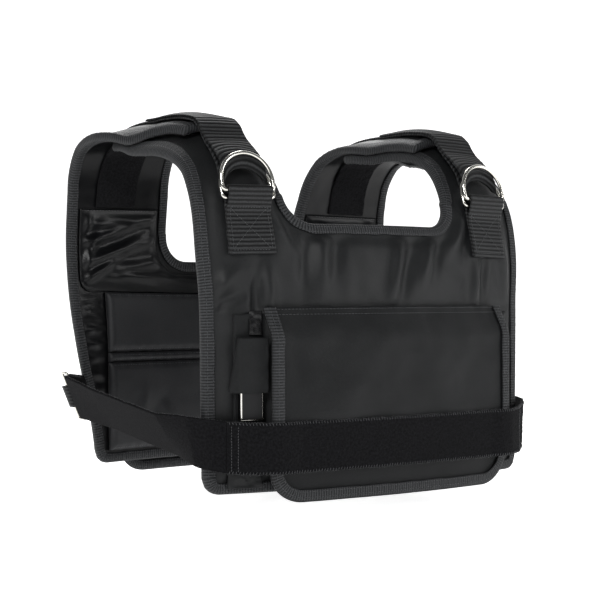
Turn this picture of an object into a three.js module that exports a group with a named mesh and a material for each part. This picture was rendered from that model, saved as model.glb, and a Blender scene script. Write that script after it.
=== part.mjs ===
// A short padded vest that carries weights, in its worn form. Millimetres, +Z up, -Y is the front,
// and the origin is where the yokes rest on the shoulders, midway between left and right.
import * as THREE from "three";

// Driving sizes
const VEST_HEIGHT = 357; // shoulders down to the hems of the two panels
const VEST_HALF_DEPTH = 132; // mid-plane to the inner face of each panel
const FRONT_HALF_WIDTH = 203;
const BACK_HALF_WIDTH = 233;
const NECK_HALF_WIDTH = 107;
const FRONT_NECK_DEPTH = 100; // shoulders down to the low edge of the neck at the front
const BACK_NECK_DEPTH = 132;
const NECK_CORNER = 32; // radius between the neck's low edge and each shoulder leg
const HEM_CORNER = 14;
const BODY_BOW = 26; // how far each panel bends round the body, middle to edge
const SHOULDER_ARCH = 20; // how far each shoulder falls from the strap to its edges
const STRAP_LINE = 154; // mid-plane to the middle of each strap
const PANEL_THICK = 9;
const EDGE_THICK = 6; // where the tape squeezes the padding
const TONGUE_THICK = 5.5;
const TONGUE_END = 62; // how far the tongue runs past the top of the shoulder
const YOKE_START = -52; // the yoke's front edge, measured from the top of the shoulder
const YOKE_THICK = 8;
const CLEAR = 0.5;
const SOFT_CLEAR = 0.9; // between faces that do not share their bends // between layers that touch
const TAPE_WIDTH = 9;
const TAPE_THICK = 1;
const TAPE_CLEAR = 1.1; // room for the stitched edge inside the folded tape
const WEBBING_WIDTH = 49;
const WEBBING_THICK = 2;
const STRAP_BACK_END = 128; // where the strap is sewn on, past the top of the shoulder
const TAIL_END = 30; // where the free end lies, past the top of the shoulder
const TAB_FOOT = 129; // shoulders down to the lower edge of each ring tab
const RING_BAR = 70; // shoulders down to the straight bar of the upper ring
const RING_WIRE = 4.4;
const RING_RADIUS = 29; // of the arc, at the middle of the wire
const RING_LEG = 10; // straight side of a D-ring
const RING_PITCH = 6; // between the bars of the two rings on a tab
const RING_SHIFT = 1; // sideways, so that the two rings pass each other
const RING_LEAN = 8; // how far the upper ring's arc stands out past the lower one's
const FLAP_HALF_WIDTH = 152;
const FLAP_SHIFT = 8; // the flap is sewn on off centre
const FLAP_TOP = 181;
const FLAP_LENGTH = 190;
const FLAP_CORNER = 34;
const FLAP_THICK = 1.4;
const FLAP_TAPE = 9;
const POCKET_THICK = 14;
const POCKET_COUNT = 9;
const POCKET_HALF_WIDTH = 176;
const POCKET_LENGTH = 160;
const BAR_WIDTH = 24; // of a weight
const BAR_THICK = 9.5;
const BAR_LENGTH = 78;
const BELT_WIDTH = 50;
const BELT_THICK = 2.4;
const BELT_DROP = 318; // shoulders down to the middle of the belt at the front
const BACK_FLAP_FILL = 0.12;
const BAR_INNER = 150;
const BAR_DROP = 252;
const CLOSURE_TOP = 210;
const CLOSURE_FOOT = 264;
const CLOSURE_OUTER = 183;
const PULL_TOP = 184;
const HEM_DEEP = 17;
const HEM_THICK = 3;
const BELT_CORNER_Y = 156;
const BELT_FOLD = 32;
const BELT_TAB_WIDTH = 25;
const BELT_TAB_THICK = 1.6;
const BUCKLE_WIRE = 3;
const BUCKLE_GAP = 12;
const PULL_WIDTH = 13;
const BELT_TILT = 32; // degrees that the free lengths lean, lower edge inwards
const BELT_SEAM = 190; // mid-plane to the sewn end of the front length
const PAD_HALF_WIDTH = 176;
const PAD_THICK = 9;
const PAD_TOP = 167;
const PAD_SPLIT = 240; // the rolled seam between the two back pads
const LINING_TOP = 71;
const LINING_THICK = 1.2;
const PATCH_WIDTH = 50;
const PATCH_THICK = 1.6;
const STATION = 24; // spacing of the sections along the panels

// Side view of the panels' inner face, from the front hem over the shoulder to the back hem.
// y and z are shares of the half depth and the height. bow and arch are shares of BODY_BOW and
// SHOULDER_ARCH. front, back and neck are shares of the three half widths.
const PROFILE = [
  { y: -1.053, z: -1.015, bow: 1.0, arch: 0.0, front: 0.99, back: 1.0, neck: 1.0 },
  { y: -1.053, z: -0.75, bow: 1.0, arch: 0.0, front: 0.995, back: 1.0, neck: 1.0 },
  { y: -1.05, z: -0.504, bow: 1.0, arch: 0.0, front: 1.0, back: 1.0, neck: 1.0 },
  { y: -1.015, z: -0.361, bow: 0.75, arch: 0.0, front: 1.015, back: 1.0, neck: 1.0 },
  { y: -0.94, z: -0.244, bow: 0.4, arch: 0.05, front: 1.015, back: 1.0, neck: 1.0 },
  { y: -0.875, z: -0.165, bow: 0.3, arch: 0.25, front: 1.01, back: 0.8, neck: 1.03 },
  { y: -0.78, z: -0.104, bow: 0.25, arch: 0.5, front: 1.0, back: 0.78, neck: 1.06 },
  { y: -0.652, z: -0.056, bow: 0.2, arch: 0.75, front: 1.0, back: 0.78, neck: 1.08 },
  { y: -0.5, z: -0.027, bow: 0.1, arch: 0.92, front: 1.0, back: 0.785, neck: 1.09 },
  { y: -0.318, z: -0.0084, bow: 0.0, arch: 1.0, front: 1.005, back: 0.8, neck: 1.09 },
  { y: -0.09, z: 0.0, bow: 0.0, arch: 1.0, front: 1.01, back: 0.83, neck: 1.07 },
  { y: 0.106, z: -0.003, bow: 0.0, arch: 0.85, front: 1.01, back: 0.88, neck: 1.03 },
  { y: 0.34, z: -0.007, bow: 0.0, arch: 0.5, front: 1.0, back: 0.92, neck: 1.0 },
  { y: 0.56, z: -0.02, bow: 0.0, arch: 0.25, front: 1.0, back: 0.945, neck: 0.98 },
  { y: 0.77, z: -0.05, bow: 0.0, arch: 0.1, front: 1.0, back: 0.95, neck: 0.95 },
  { y: 0.94, z: -0.11, bow: 0.1, arch: 0.0, front: 1.0, back: 0.945, neck: 0.91 },
  { y: 1.05, z: -0.21, bow: 0.35, arch: 0.0, front: 1.0, back: 0.94, neck: 0.87 },
  { y: 1.075, z: -0.38, bow: 0.8, arch: 0.0, front: 1.0, back: 0.95, neck: 0.85 },
  { y: 1.008, z: -0.616, bow: 1.15, arch: 0.0, front: 1.0, back: 0.935, neck: 0.85 },
  { y: 0.985, z: -1.0, bow: 1.1, arch: 0.0, front: 1.0, back: 0.82, neck: 0.85 },
];

// Soft dents in the front, as shares of the front's half width and of the height:
// the middle, the half length, the half width, how far it leans, and its depth as a share.
const DENTS = [
  { x: -0.43, z: -0.43, length: 0.13, width: 0.035, lean: 0.1, depth: 0.5 },
  { x: -0.12, z: -0.38, length: 0.09, width: 0.06, lean: 0.25, depth: 0.45 },
  { x: 0.2, z: -0.4, length: 0.1, width: 0.06, lean: 0.3, depth: 0.5 },
  { x: 0.45, z: -0.4, length: 0.1, width: 0.06, lean: 0.25, depth: 0.5 },
  { x: 0.75, z: -0.42, length: 0.1, width: 0.05, lean: 0.1, depth: 0.4 },
  { x: -0.8, z: -0.5, length: 0.02, width: 0.16, lean: 0.0, depth: 0.4 },
];
const DENT_DEPTH = 5;
// Soft diagonal folds in the front flap, raised by a share of DENT_DEPTH
const FLAP_RIPPLE = 0.6;
const FLAP_FOLDS = [
  { x: -0.35, z: -0.78, length: 0.1, width: 0.2, lean: -0.9, depth: 0.7 },
  { x: 0.25, z: -0.66, length: 0.12, width: 0.12, lean: -0.8, depth: 0.6 },
  { x: -0.1, z: -0.6, length: 0.1, width: 0.12, lean: -0.7, depth: 0.5 },
];

const HANDS = [
  { name: "left", side: -1 },
  { name: "right", side: 1 },
];

const lerp = THREE.MathUtils.lerp;
const smooth = (value, low, high) => THREE.MathUtils.smoothstep(value, low, high);

// The side view as one smooth curve, measured by the length along it
const side = new THREE.CatmullRomCurve3(
  PROFILE.map((row) => new THREE.Vector3(0, row.y * VEST_HALF_DEPTH, row.z * VEST_HEIGHT)),
);
side.arcLengthDivisions = 1200;
const SIDE_LENGTH = side.getLength();

function columnAt(name, place) {
  const last = PROFILE.length - 1;
  const index = Math.min(Math.floor(place), last - 1);
  const rows = [index - 1, index, index + 1, index + 2];
  const [a, b, c, d] = rows.map((row) => PROFILE[THREE.MathUtils.clamp(row, 0, last)][name]);
  const s = place - index;
  const curve = 2 * a - 5 * b + 4 * c - d + (3 * b - a - 3 * c + d) * s;
  return b + 0.5 * s * (c - a + s * curve);
}

const stationCache = new Map();

function stationAt(along) {
  const key = along.toFixed(4);
  if (!stationCache.has(key)) {
    const inside = THREE.MathUtils.clamp(along, 0, SIDE_LENGTH);
    const share = inside / SIDE_LENGTH;
    const place = side.getUtoTmapping(share) * (PROFILE.length - 1);
    const point = side.getPointAt(share);
    const tangent = side.getTangentAt(share);
    point.addScaledVector(tangent, along - inside);
    const station = { y: point.y, z: point.z, outY: -tangent.z, outZ: tangent.y };
    for (const name of ["bow", "arch", "front", "back", "neck"]) {
      station[name] = columnAt(name, place);
    }
    stationCache.set(key, station);
  }
  return stationCache.get(key);
}

// How far the face at x lies inside the face at the strap line
function inwardAt(x, station) {
  const away = Math.abs(x);
  const legHalf = FRONT_HALF_WIDTH - STRAP_LINE;
  const bow = (away ** 2 - STRAP_LINE ** 2) / FRONT_HALF_WIDTH ** 2;
  const arch = ((Math.max(away, NECK_HALF_WIDTH) - STRAP_LINE) / legHalf) ** 2;
  const limit = 1.15;
  return BODY_BOW * station.bow * bow + SHOULDER_ARCH * station.arch * Math.min(arch, limit);
}

function shellPoint(x, along, out) {
  const station = stationAt(along);
  const reach = out - inwardAt(x, station);
  return new THREE.Vector3(x, station.y + station.outY * reach, station.z + station.outZ * reach);
}

// The length along the curve at a drop below the shoulders, in front or behind
function alongAt(drop, behind = false) {
  let low = behind ? SIDE_LENGTH / 2 : 0;
  let high = behind ? SIDE_LENGTH : SIDE_LENGTH / 2;
  for (let step = 0; step < 40; step += 1) {
    const middle = (low + high) / 2;
    const above = stationAt(middle).z > -drop;
    if (above === behind) low = middle;
    else high = middle;
  }
  return (low + high) / 2;
}

const CREST = (() => {
  let best = 0;
  for (let along = 0; along < SIDE_LENGTH; along += 1) {
    if (stationAt(along).z > stationAt(best).z) best = along;
  }
  return best;
})();

// Values from low to high that share their inner ones with every other list
function stationsBetween(low, high, border = 0) {
  const list = [low];
  if (border) list.push(low + border);
  const margin = STATION * 0.3;
  const first = Math.ceil((low + border + margin) / STATION);
  const last = Math.floor((high - border - margin) / STATION);
  for (let step = first; step <= last; step += 1) list.push(step * STATION);
  if (border) list.push(high - border);
  list.push(high);
  return list;
}

function dentAt(x, along, table) {
  const station = stationAt(along);
  let depth = 0;
  for (const row of table) {
    const up = station.z / VEST_HEIGHT - row.z;
    const across = x / FRONT_HALF_WIDTH - row.x + row.lean * up;
    depth += row.depth * Math.exp(-((up / row.length) ** 2) - (across / row.width) ** 2);
  }
  return Math.min(depth, 1) * DENT_DEPTH;
}

// A closed solid between an outer and an inner face that share their quads
function solidFromFaces(outer, inner, quads) {
  const count = outer.length;
  const positions = [...outer, ...inner].flatMap((point) => point.toArray());
  const index = [];
  const edges = new Map();
  for (const [a, b, c, d] of quads) {
    index.push(a, b, c, a, c, d);
    index.push(count + a, count + c, count + b, count + a, count + d, count + c);
    for (const [from, to] of [[a, b], [b, c], [c, d], [d, a]]) edges.set(`${from} ${to}`, [from, to]);
  }
  for (const [from, to] of edges.values()) {
    if (edges.has(`${to} ${from}`)) continue;
    index.push(from, count + from, count + to, from, count + to, to);
  }
  const geometry = new THREE.BufferGeometry();
  geometry.setAttribute("position", new THREE.Float32BufferAttribute(positions, 3));
  geometry.setIndex(index);
  return geometry;
}

// A sheet over rows and columns. pointAt(row, column, face) gives a point, face 1 outside, 0 inside.
function sheetSolid(rows, columns, pointAt, flip = false) {
  const outer = [];
  const inner = [];
  const quads = [];
  rows.forEach((row, i) => {
    columns.forEach((column, j) => {
      outer.push(pointAt(row, column, 1));
      inner.push(pointAt(row, column, 0));
      if (i === 0 || j === 0) return;
      const corner = i * columns.length + j;
      const quad = [corner - columns.length - 1, corner - columns.length, corner, corner - 1];
      quads.push(flip ? quad.reverse() : quad);
    });
  });
  return solidFromFaces(outer, inner, quads);
}

// The neck's low edge and its round corners, as the length along the panel from its hem
function neckCurve(x, low, half) {
  const past = Math.abs(x) - (half - NECK_CORNER);
  if (past <= 0) return low;
  return low + NECK_CORNER - Math.sqrt(Math.max(NECK_CORNER ** 2 - past ** 2, 0));
}

// A panel with two shoulder legs. Lengths run from the hem to the end of the legs; place turns
// them into lengths along the side curve.
function panelMap({ place, edge, neckLow, neckHalf, legEnd, neckEdge, bodyRows = 5 }) {
  const border = TAPE_WIDTH + 1;
  const cornerShare = Math.SQRT1_2;
  const split = neckLow + NECK_CORNER * (1 - cornerShare);
  const splitX = neckHalf - NECK_CORNER * (1 - cornerShare);
  const shares = [0, border / split];
  for (let step = 1; step < bodyRows; step += 1) {
    shares.push(lerp(border / split, 1 - border / split, step / bodyRows));
  }
  shares.push(1 - border / split, 1);
  const ends = [place(split), place(legEnd)].sort((a, b) => a - b);
  const legRows = stationsBetween(...ends, border).map((along) => Math.abs(along - place(0)));
  legRows.sort((a, b) => a - b);
  const hemCurve = (x, half) => {
    const past = Math.abs(x) - (half - HEM_CORNER);
    return past <= 0 ? 0 : HEM_CORNER - Math.sqrt(Math.max(HEM_CORNER ** 2 - past ** 2, 0));
  };
  const legColumns = (inside, outside) => [
    inside,
    inside + border,
    STRAP_LINE - WEBBING_WIDTH / 2,
    STRAP_LINE,
    STRAP_LINE + WEBBING_WIDTH / 2,
    Math.max(outside - HEM_CORNER, (STRAP_LINE + WEBBING_WIDTH / 2 + outside - border) / 2),
    outside - border,
    outside,
  ];
  const middleShares = [-0.85, -0.5, -0.17, 0.17, 0.5, 0.85];
  const nodes = [];
  const quads = [];
  const rowsOfNodes = [];
  const add = (x, length) => nodes.push({ x, along: place(length) }) - 1;
  shares.forEach((share) => {
    const guess = share * split;
    const outside = edge(place(guess));
    const leg = legColumns(splitX, outside);
    const lengthAt = (x, top) => {
      const start = hemCurve(x, outside);
      return start + share * (top - start);
    };
    const left = [...leg].reverse().map((x) => add(-x, lengthAt(x, split)));
    const middle = middleShares.map((part) => {
      const x = part * splitX;
      return add(x, lengthAt(x, neckCurve(x, neckLow, neckHalf)));
    });
    const right = leg.map((x) => add(x, lengthAt(x, split)));
    rowsOfNodes.push([...left, ...middle, ...right]);
  });
  const join = (below, above) => {
    for (let j = 1; j < below.length; j += 1) quads.push([below[j - 1], below[j], above[j], above[j - 1]]);
  };
  for (let i = 1; i < rowsOfNodes.length; i += 1) join(rowsOfNodes[i - 1], rowsOfNodes[i]);
  const top = rowsOfNodes[rowsOfNodes.length - 1];
  const legCount = legColumns(splitX, neckHalf * 2).length;
  for (const hand of HANDS) {
    let below = hand.side < 0 ? top.slice(0, legCount) : top.slice(-legCount);
    for (const length of legRows.slice(1)) {
      const along = place(length);
      const rise = neckLow + NECK_CORNER - length;
      const arc = neckHalf - NECK_CORNER + Math.sqrt(Math.max(NECK_CORNER ** 2 - rise ** 2, 0));
      const inside = rise > 0 ? arc : neckEdge(along);
      const xs = legColumns(inside, edge(along));
      const row = hand.side < 0 ? xs.reverse().map((x) => add(-x, length)) : xs.map((x) => add(x, length));
      join(below, row);
      below = row;
    }
  }
  return { nodes, quads };
}

// The outline of a panel as a closed loop of node numbers, in the order of its quads' edges
function outlineOf(quads) {
  const next = new Map();
  const seen = new Set();
  for (const [a, b, c, d] of quads) {
    for (const [from, to] of [[a, b], [b, c], [c, d], [d, a]]) seen.add(`${from} ${to}`);
  }
  for (const pair of seen) {
    const [from, to] = pair.split(" ").map(Number);
    if (!seen.has(`${to} ${from}`)) next.set(from, to);
  }
  const loop = [next.keys().next().value];
  while (next.get(loop[loop.length - 1]) !== loop[0]) loop.push(next.get(loop[loop.length - 1]));
  return loop;
}

// Tape folded over an edge: a U section carried along a line of nodes, inside on its left
function tapeSolid(line, faceAt, closed = true, width = TAPE_WIDTH, near = TAPE_CLEAR) {
  const count = line.length;
  const far = near + TAPE_THICK;
  const section = [
    { inward: width, face: 1, away: far },
    { inward: -far, face: 1, away: far },
    { inward: -far, face: 0, away: far },
    { inward: width, face: 0, away: far },
    { inward: width, face: 0, away: near },
    { inward: -near, face: 0, away: near },
    { inward: -near, face: 1, away: near },
    { inward: width, face: 1, away: near },
  ];
  const positions = [];
  line.forEach((node, i) => {
    const before = closed || i > 0 ? line[(i + count - 1) % count] : node;
    const after = closed || i < count - 1 ? line[(i + 1) % count] : node;
    const first = new THREE.Vector2(before.along - node.along, node.x - before.x).normalize();
    const second = new THREE.Vector2(node.along - after.along, after.x - node.x).normalize();
    const into = first.clone().add(second).normalize();
    const miter = 1 / Math.max(into.dot(second.lengthSq() > 0 ? second : first), 0.5);
    for (const { inward, face, away } of section) {
      const x = node.x + into.x * inward * miter;
      const along = node.along + into.y * inward * miter;
      const out = faceAt(x, along, face) + away * (face ? 1 : -1);
      positions.push(...shellPoint(x, along, out).toArray());
    }
  });
  const size = section.length;
  const index = [];
  const turns = closed ? count : count - 1;
  for (let i = 0; i < turns; i += 1) {
    const here = i * size;
    const there = ((i + 1) % count) * size;
    for (let k = 0; k < size; k += 1) {
      const next = (k + 1) % size;
      index.push(here + k, here + next, there + next, here + k, there + next, there + k);
    }
  }
  if (!closed) {
    const end = (count - 1) * size;
    for (const [a, b, c, d] of [[0, 1, 6, 7], [1, 2, 5, 6], [2, 3, 4, 5]]) {
      index.push(a, c, b, a, d, c);
      index.push(end + a, end + b, end + c, end + a, end + c, end + d);
    }
  }
  const geometry = new THREE.BufferGeometry();
  geometry.setAttribute("position", new THREE.Float32BufferAttribute(positions, 3));
  geometry.setIndex(index);
  return geometry;
}

const group = new THREE.Group();

function addPiece(name, geometry, color, roughness = 0.85, metalness = 0) {
  geometry.computeVertexNormals();
  const material = new THREE.MeshStandardMaterial({ color, roughness, metalness });
  const mesh = new THREE.Mesh(geometry, material);
  mesh.name = name;
  group.add(mesh);
}

const NYLON = "#1c1d1f";
const TAPE = "#222325";
const SATIN = "#141518";
const WEBBING = "#1a1a1c";
const LOOP = "#202022";
const TWILL = "#232427";
const STEEL = "#b9bab8";

// Front panel and its tape
const atStation = (along) => Math.round(along / STATION) * STATION;
const frontLegEnd = atStation(CREST + TONGUE_END);
const yokeFront = atStation(CREST + YOKE_START);
const frontNeck = alongAt(FRONT_NECK_DEPTH);
const frontMap = panelMap({
  place: (length) => length,
  edge: (along) => FRONT_HALF_WIDTH * stationAt(along).front,
  neckLow: frontNeck,
  neckHalf: NECK_HALF_WIDTH,
  legEnd: frontLegEnd,
  neckEdge: (along) => NECK_HALF_WIDTH * stationAt(along).neck,
});

// The same values at the stations, and straight lines between them
function straightened(valueAt) {
  return (along) => {
    const below = Math.floor(along / STATION + 1e-6) * STATION;
    return lerp(valueAt(below), valueAt(below + STATION), (along - below) / STATION);
  };
}

const frontThick = straightened((along) => {
  const thin = smooth(along, yokeFront - 4 * STATION, yokeFront - 2 * STATION);
  return lerp(PANEL_THICK, TONGUE_THICK, thin);
});

function panelSolid(map, thickAt, layerAt, table) {
  const rim = new Set(outlineOf(map.quads));
  const near = new Set(rim);
  for (const quad of map.quads) {
    if (quad.some((number) => rim.has(number))) quad.forEach((number) => near.add(number));
  }
  const outer = [];
  const inner = [];
  map.nodes.forEach(({ x, along }, number) => {
    const thick = near.has(number) ? Math.min(EDGE_THICK, thickAt(along)) : thickAt(along);
    const dent = near.has(number) || !table ? 0 : dentAt(x, along, table);
    outer.push(shellPoint(x, along, layerAt(along) + thick - dent));
    inner.push(shellPoint(x, along, layerAt(along)));
  });
  return solidFromFaces(outer, inner, map.quads);
}

const onBody = () => 0;
addPiece("front_panel", panelSolid(frontMap, frontThick, onBody, DENTS), NYLON, 0.7);
const frontFace = (x, along, face) => (face ? Math.min(EDGE_THICK, frontThick(along)) : 0);
const outlineNodes = (map) => outlineOf(map.quads).map((number) => map.nodes[number]);
addPiece("front_binding", tapeSolid(outlineNodes(frontMap), frontFace), TAPE);

// Back panel: its yokes lie on the tongues and come down to the body behind them
const backNeck = SIDE_LENGTH - alongAt(BACK_NECK_DEPTH, true);
const backPlace = (length) => SIDE_LENGTH - length;
const backMap = panelMap({
  place: backPlace,
  edge: (along) => BACK_HALF_WIDTH * stationAt(along).back,
  neckLow: backNeck,
  neckHalf: NECK_HALF_WIDTH * stationAt(backPlace(backNeck)).neck,
  legEnd: SIDE_LENGTH - yokeFront,
  neckEdge: (along) => NECK_HALF_WIDTH * stationAt(along).neck,
});
backMap.quads.forEach((quad) => quad.reverse());
const yokeLayer = TONGUE_THICK + 2 * (TAPE_CLEAR + TAPE_THICK + SOFT_CLEAR);

const backLayer = straightened((along) => {
  const start = frontLegEnd + 1.5 * STATION;
  return yokeLayer * (1 - smooth(along, start, start + 3 * STATION));
});

const backThick = straightened((along) => {
  const yoke = lerp(EDGE_THICK, YOKE_THICK, smooth(along, yokeFront, yokeFront + 2 * STATION));
  return lerp(yoke, PANEL_THICK, smooth(along, frontLegEnd, frontLegEnd + 3 * STATION));
});

addPiece("back_panel", panelSolid(backMap, backThick, backLayer), NYLON, 0.7);
const backFace = (x, along, face) => backLayer(along) + (face ? Math.min(EDGE_THICK, backThick(along)) : 0);
addPiece("back_binding", tapeSolid(outlineNodes(backMap), backFace), TAPE);

// Satin inside the back, from the pads up into the yokes
const inset = TAPE_WIDTH + 3;
const liningFoot = SIDE_LENGTH - alongAt(PAD_TOP - CLEAR, true);
const liningPlace = (length) => SIDE_LENGTH - liningFoot - length;
const liningMap = panelMap({
  place: liningPlace,
  edge: (along) => BACK_HALF_WIDTH * stationAt(along).back - inset,
  neckLow: backNeck - liningFoot - inset,
  neckHalf: NECK_HALF_WIDTH * stationAt(backPlace(backNeck)).neck + inset,
  legEnd: SIDE_LENGTH - liningFoot - alongAt(LINING_TOP, true),
  neckEdge: (along) => NECK_HALF_WIDTH * stationAt(along).neck + inset,
  bodyRows: 2,
});
liningMap.quads.forEach((quad) => quad.reverse());
const liningFaces = [0, -LINING_THICK].map((out) =>
  liningMap.nodes.map(({ x, along }) => shellPoint(x, along, out - SOFT_CLEAR - CLEAR + backLayer(along))),
);
addPiece("back_lining", solidFromFaces(...liningFaces, liningMap.quads), SATIN, 0.35);

// A padded field inside the back, between two drops below the shoulders
function addBackPad(name, top, foot, half, thick) {
  const high = alongAt(top, true);
  const low = alongAt(foot, true);
  const rows = [0, 0.12, 0.5, 0.88, 1];
  const columns = [-1, -0.93, -0.6, -0.2, 0.2, 0.6, 0.93, 1];
  const point = (row, column, face) => {
    const rim = Math.min(1, 8 * Math.min(row, 1 - row)) * Math.min(1, 14 * (1 - Math.abs(column)));
    const deep = thick * lerp(0.35, 1, rim);
    const near = -CLEAR - SOFT_CLEAR;
    return shellPoint(column * half, lerp(high, low, row), face ? near : near - deep);
  };
  addPiece(name, sheetSolid(rows, columns, point), NYLON, 0.6);
}

const rollHalf = PAD_THICK * 0.6;
addBackPad("back_pad_upper", PAD_TOP, PAD_SPLIT - rollHalf - CLEAR, PAD_HALF_WIDTH, PAD_THICK);
addBackPad("back_seam_roll", PAD_SPLIT - rollHalf, PAD_SPLIT + rollHalf, PAD_HALF_WIDTH, PAD_THICK * 0.8);
const padFoot = VEST_HEIGHT - inset;
addBackPad("back_pad_lower", PAD_SPLIT + rollHalf + CLEAR, padFoot, PAD_HALF_WIDTH, PAD_THICK);

// Soft half of the hook-and-loop tape, inside each yoke
const patchLine = STRAP_LINE + 8;
const patchRows = stationsBetween(frontLegEnd + STATION, alongAt(LINING_TOP - 2, true));
for (const { name, side: hand } of HANDS) {
  const columns = [-PATCH_WIDTH / 2, 0, PATCH_WIDTH / 2].map((x) => hand * patchLine + x);
  const point = (along, x, face) => {
    const out = backLayer(along) - SOFT_CLEAR - (face ? 0 : PATCH_THICK);
    return shellPoint(x, along, out);
  };
  addPiece(`loop_patch_${name}`, sheetSolid(patchRows, columns, point), LOOP, 1);
}

// Webbing that follows a path in the plane of length along and height over a shoulder.
// Each row of the path has along, out and soft: how far the webbing gives to the shoulder's arch.
// bend moves and stretches a row round the curved arc of a ring.
function webbingSolid(hand, path, bend = () => 0) {
  const half = WEBBING_WIDTH / 2;
  const offsets = [-half, -half * 0.55, 0, half * 0.55, half];
  const line = hand * STRAP_LINE;
  const rows = path.map((row, i) => {
    const before = path[Math.max(i - 1, 0)];
    const after = path[Math.min(i + 1, path.length - 1)];
    const run = new THREE.Vector2(after.along - before.along, after.out - before.out).normalize();
    return { ...row, upAlong: run.y, upOut: -run.x };
  });
  const point = (row, offset, face) => {
    const away = (face - 0.5) * WEBBING_THICK;
    const along = row.along + row.upAlong * away;
    const out = row.out + row.upOut * away;
    const moved = along + bend(row, offset, along);
    const station = stationAt(moved);
    const middle = inwardAt(line, station);
    const slope = lerp(slopeAt(line, moved), slopeAt(line, ringSlopeAlong), row.rigid ?? 0);
    const x = line + offset;
    const flat = middle + slope * offset;
    const inward = lerp(flat, inwardAt(x, station), row.soft);
    const reach = out - inward - (row.wraps ? ringSag(moved) : 0);
    return new THREE.Vector3(x, station.y + station.outY * reach, station.z + station.outZ * reach);
  };
  return sheetSolid(rows, offsets, point, true);
}

// How much further in the panels lie for each millimetre outwards from the middle
function slopeAt(line, along) {
  const half = WEBBING_WIDTH / 2;
  const station = stationAt(along);
  return (inwardAt(line + half, station) - inwardAt(line - half, station)) / WEBBING_WIDTH;
}

// The length along the panels at which a straight reach from a start ends, at one height
function alongAfter(line, start, out, length) {
  const from = shellPoint(line, start, out);
  let along = start;
  while (shellPoint(line, along, out).distanceTo(from) < length) along += 0.05;
  return along;
}

const ringOut = PANEL_THICK + WEBBING_THICK + 6 * CLEAR + RING_WIRE / 2;
const upperRingOut = ringOut + RING_WIRE + CLEAR;
const wrap = RING_WIRE / 2 + SOFT_CLEAR + WEBBING_THICK / 2;
const upperBar = alongAt(RING_BAR);
const lowerBar = upperBar - RING_PITCH;
const ringReach = RING_LEG + RING_RADIUS;
const lowerArc = alongAfter(STRAP_LINE, lowerBar, ringOut, ringReach);
const upperArc = alongAfter(STRAP_LINE, upperBar, upperRingOut, ringReach);
const arcScale = (lowerArc - lowerBar) / ringReach;
const ringSlopeAlong = (lowerBar + lowerArc) / 2;

// How far the curved front stands beyond the flat lower ring
function ringSag(along) {
  const share = THREE.MathUtils.clamp((along - lowerBar) / (lowerArc - lowerBar), 0, 1);
  const ends = [lowerBar, lowerArc].map((end) => shellPoint(STRAP_LINE, end, ringOut));
  const straight = ends[0].lerp(ends[1], 0.5);
  const most = shellPoint(STRAP_LINE, ringSlopeAlong, ringOut).distanceTo(straight);
  return 4 * most * share * (1 - share);
}
const WRAP_STEPS = 5;

function yokeTop(along) {
  const taped = EDGE_THICK + TAPE_CLEAR + TAPE_THICK;
  return backLayer(along) + Math.max(backThick(along), taped) + SOFT_CLEAR;
}

// The middle of the standing length, on the yoke and then on the front leg
function standingOut(along) {
  const edge = yokeFront - 4;
  const low = PANEL_THICK + CLEAR;
  const base = along >= edge ? yokeTop(along) : lerp(low, yokeTop(edge), smooth(along, edge - 26, edge));
  return base + WEBBING_THICK / 2;
}

const fullySoft = (along) => smooth(along, yokeFront - STATION, yokeFront + 2 * STATION);

function strapPath() {
  const sewn = CREST + STRAP_BACK_END;
  const edge = yokeFront - 4;
  const over = stationsBetween(edge, sewn).reverse();
  const down = [edge - 9, edge - 18, edge - 27];
  const standing = [...over, ...down.filter((along) => along > lowerArc + 3)];
  const path = standing.map((along) => ({ along, out: standingOut(along), soft: fullySoft(along) }));
  for (let step = 0; step <= WRAP_STEPS; step += 1) {
    const angle = (Math.PI * step) / WRAP_STEPS;
    const along = lowerArc - wrap * Math.sin(angle);
    path.push({ along, out: ringOut - wrap * Math.cos(angle), soft: 0, wraps: 1, rigid: 1 });
  }
  const lift = WEBBING_THICK + CLEAR;
  const tail = [...standing].reverse().filter((along) => along < CREST + TAIL_END && along > upperArc);
  path.push({ along: upperArc - 1, out: ringOut + wrap, soft: 0, wraps: 0.9, rigid: 1 });
  for (const along of tail) {
    const laid = standingOut(along) + lift;
    const ease = 1 - smooth(along, upperArc, upperArc + 1.2 * STATION);
    path.push({ along, out: Math.max(laid, lerp(laid, ringOut + wrap, ease)), soft: fullySoft(along) });
  }
  return path;
}

// The strap's fold follows the arc of the lower ring
function foldBend(row, offset, along) {
  const across = Math.min(Math.abs(offset - RING_SHIFT), RING_RADIUS * 0.86);
  const fall = (RING_RADIUS - Math.sqrt(RING_RADIUS ** 2 - across ** 2)) * arcScale;
  const stretch = RING_RADIUS / Math.sqrt(RING_RADIUS ** 2 - across ** 2);
  const wraps = row.wraps ?? 1 - smooth(row.along, lowerArc, lowerArc + 1.6 * STATION);
  const around = row.wraps === 1 ? (along - lowerArc) * (stretch - 1) : 0;
  return around - fall * wraps;
}

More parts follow.
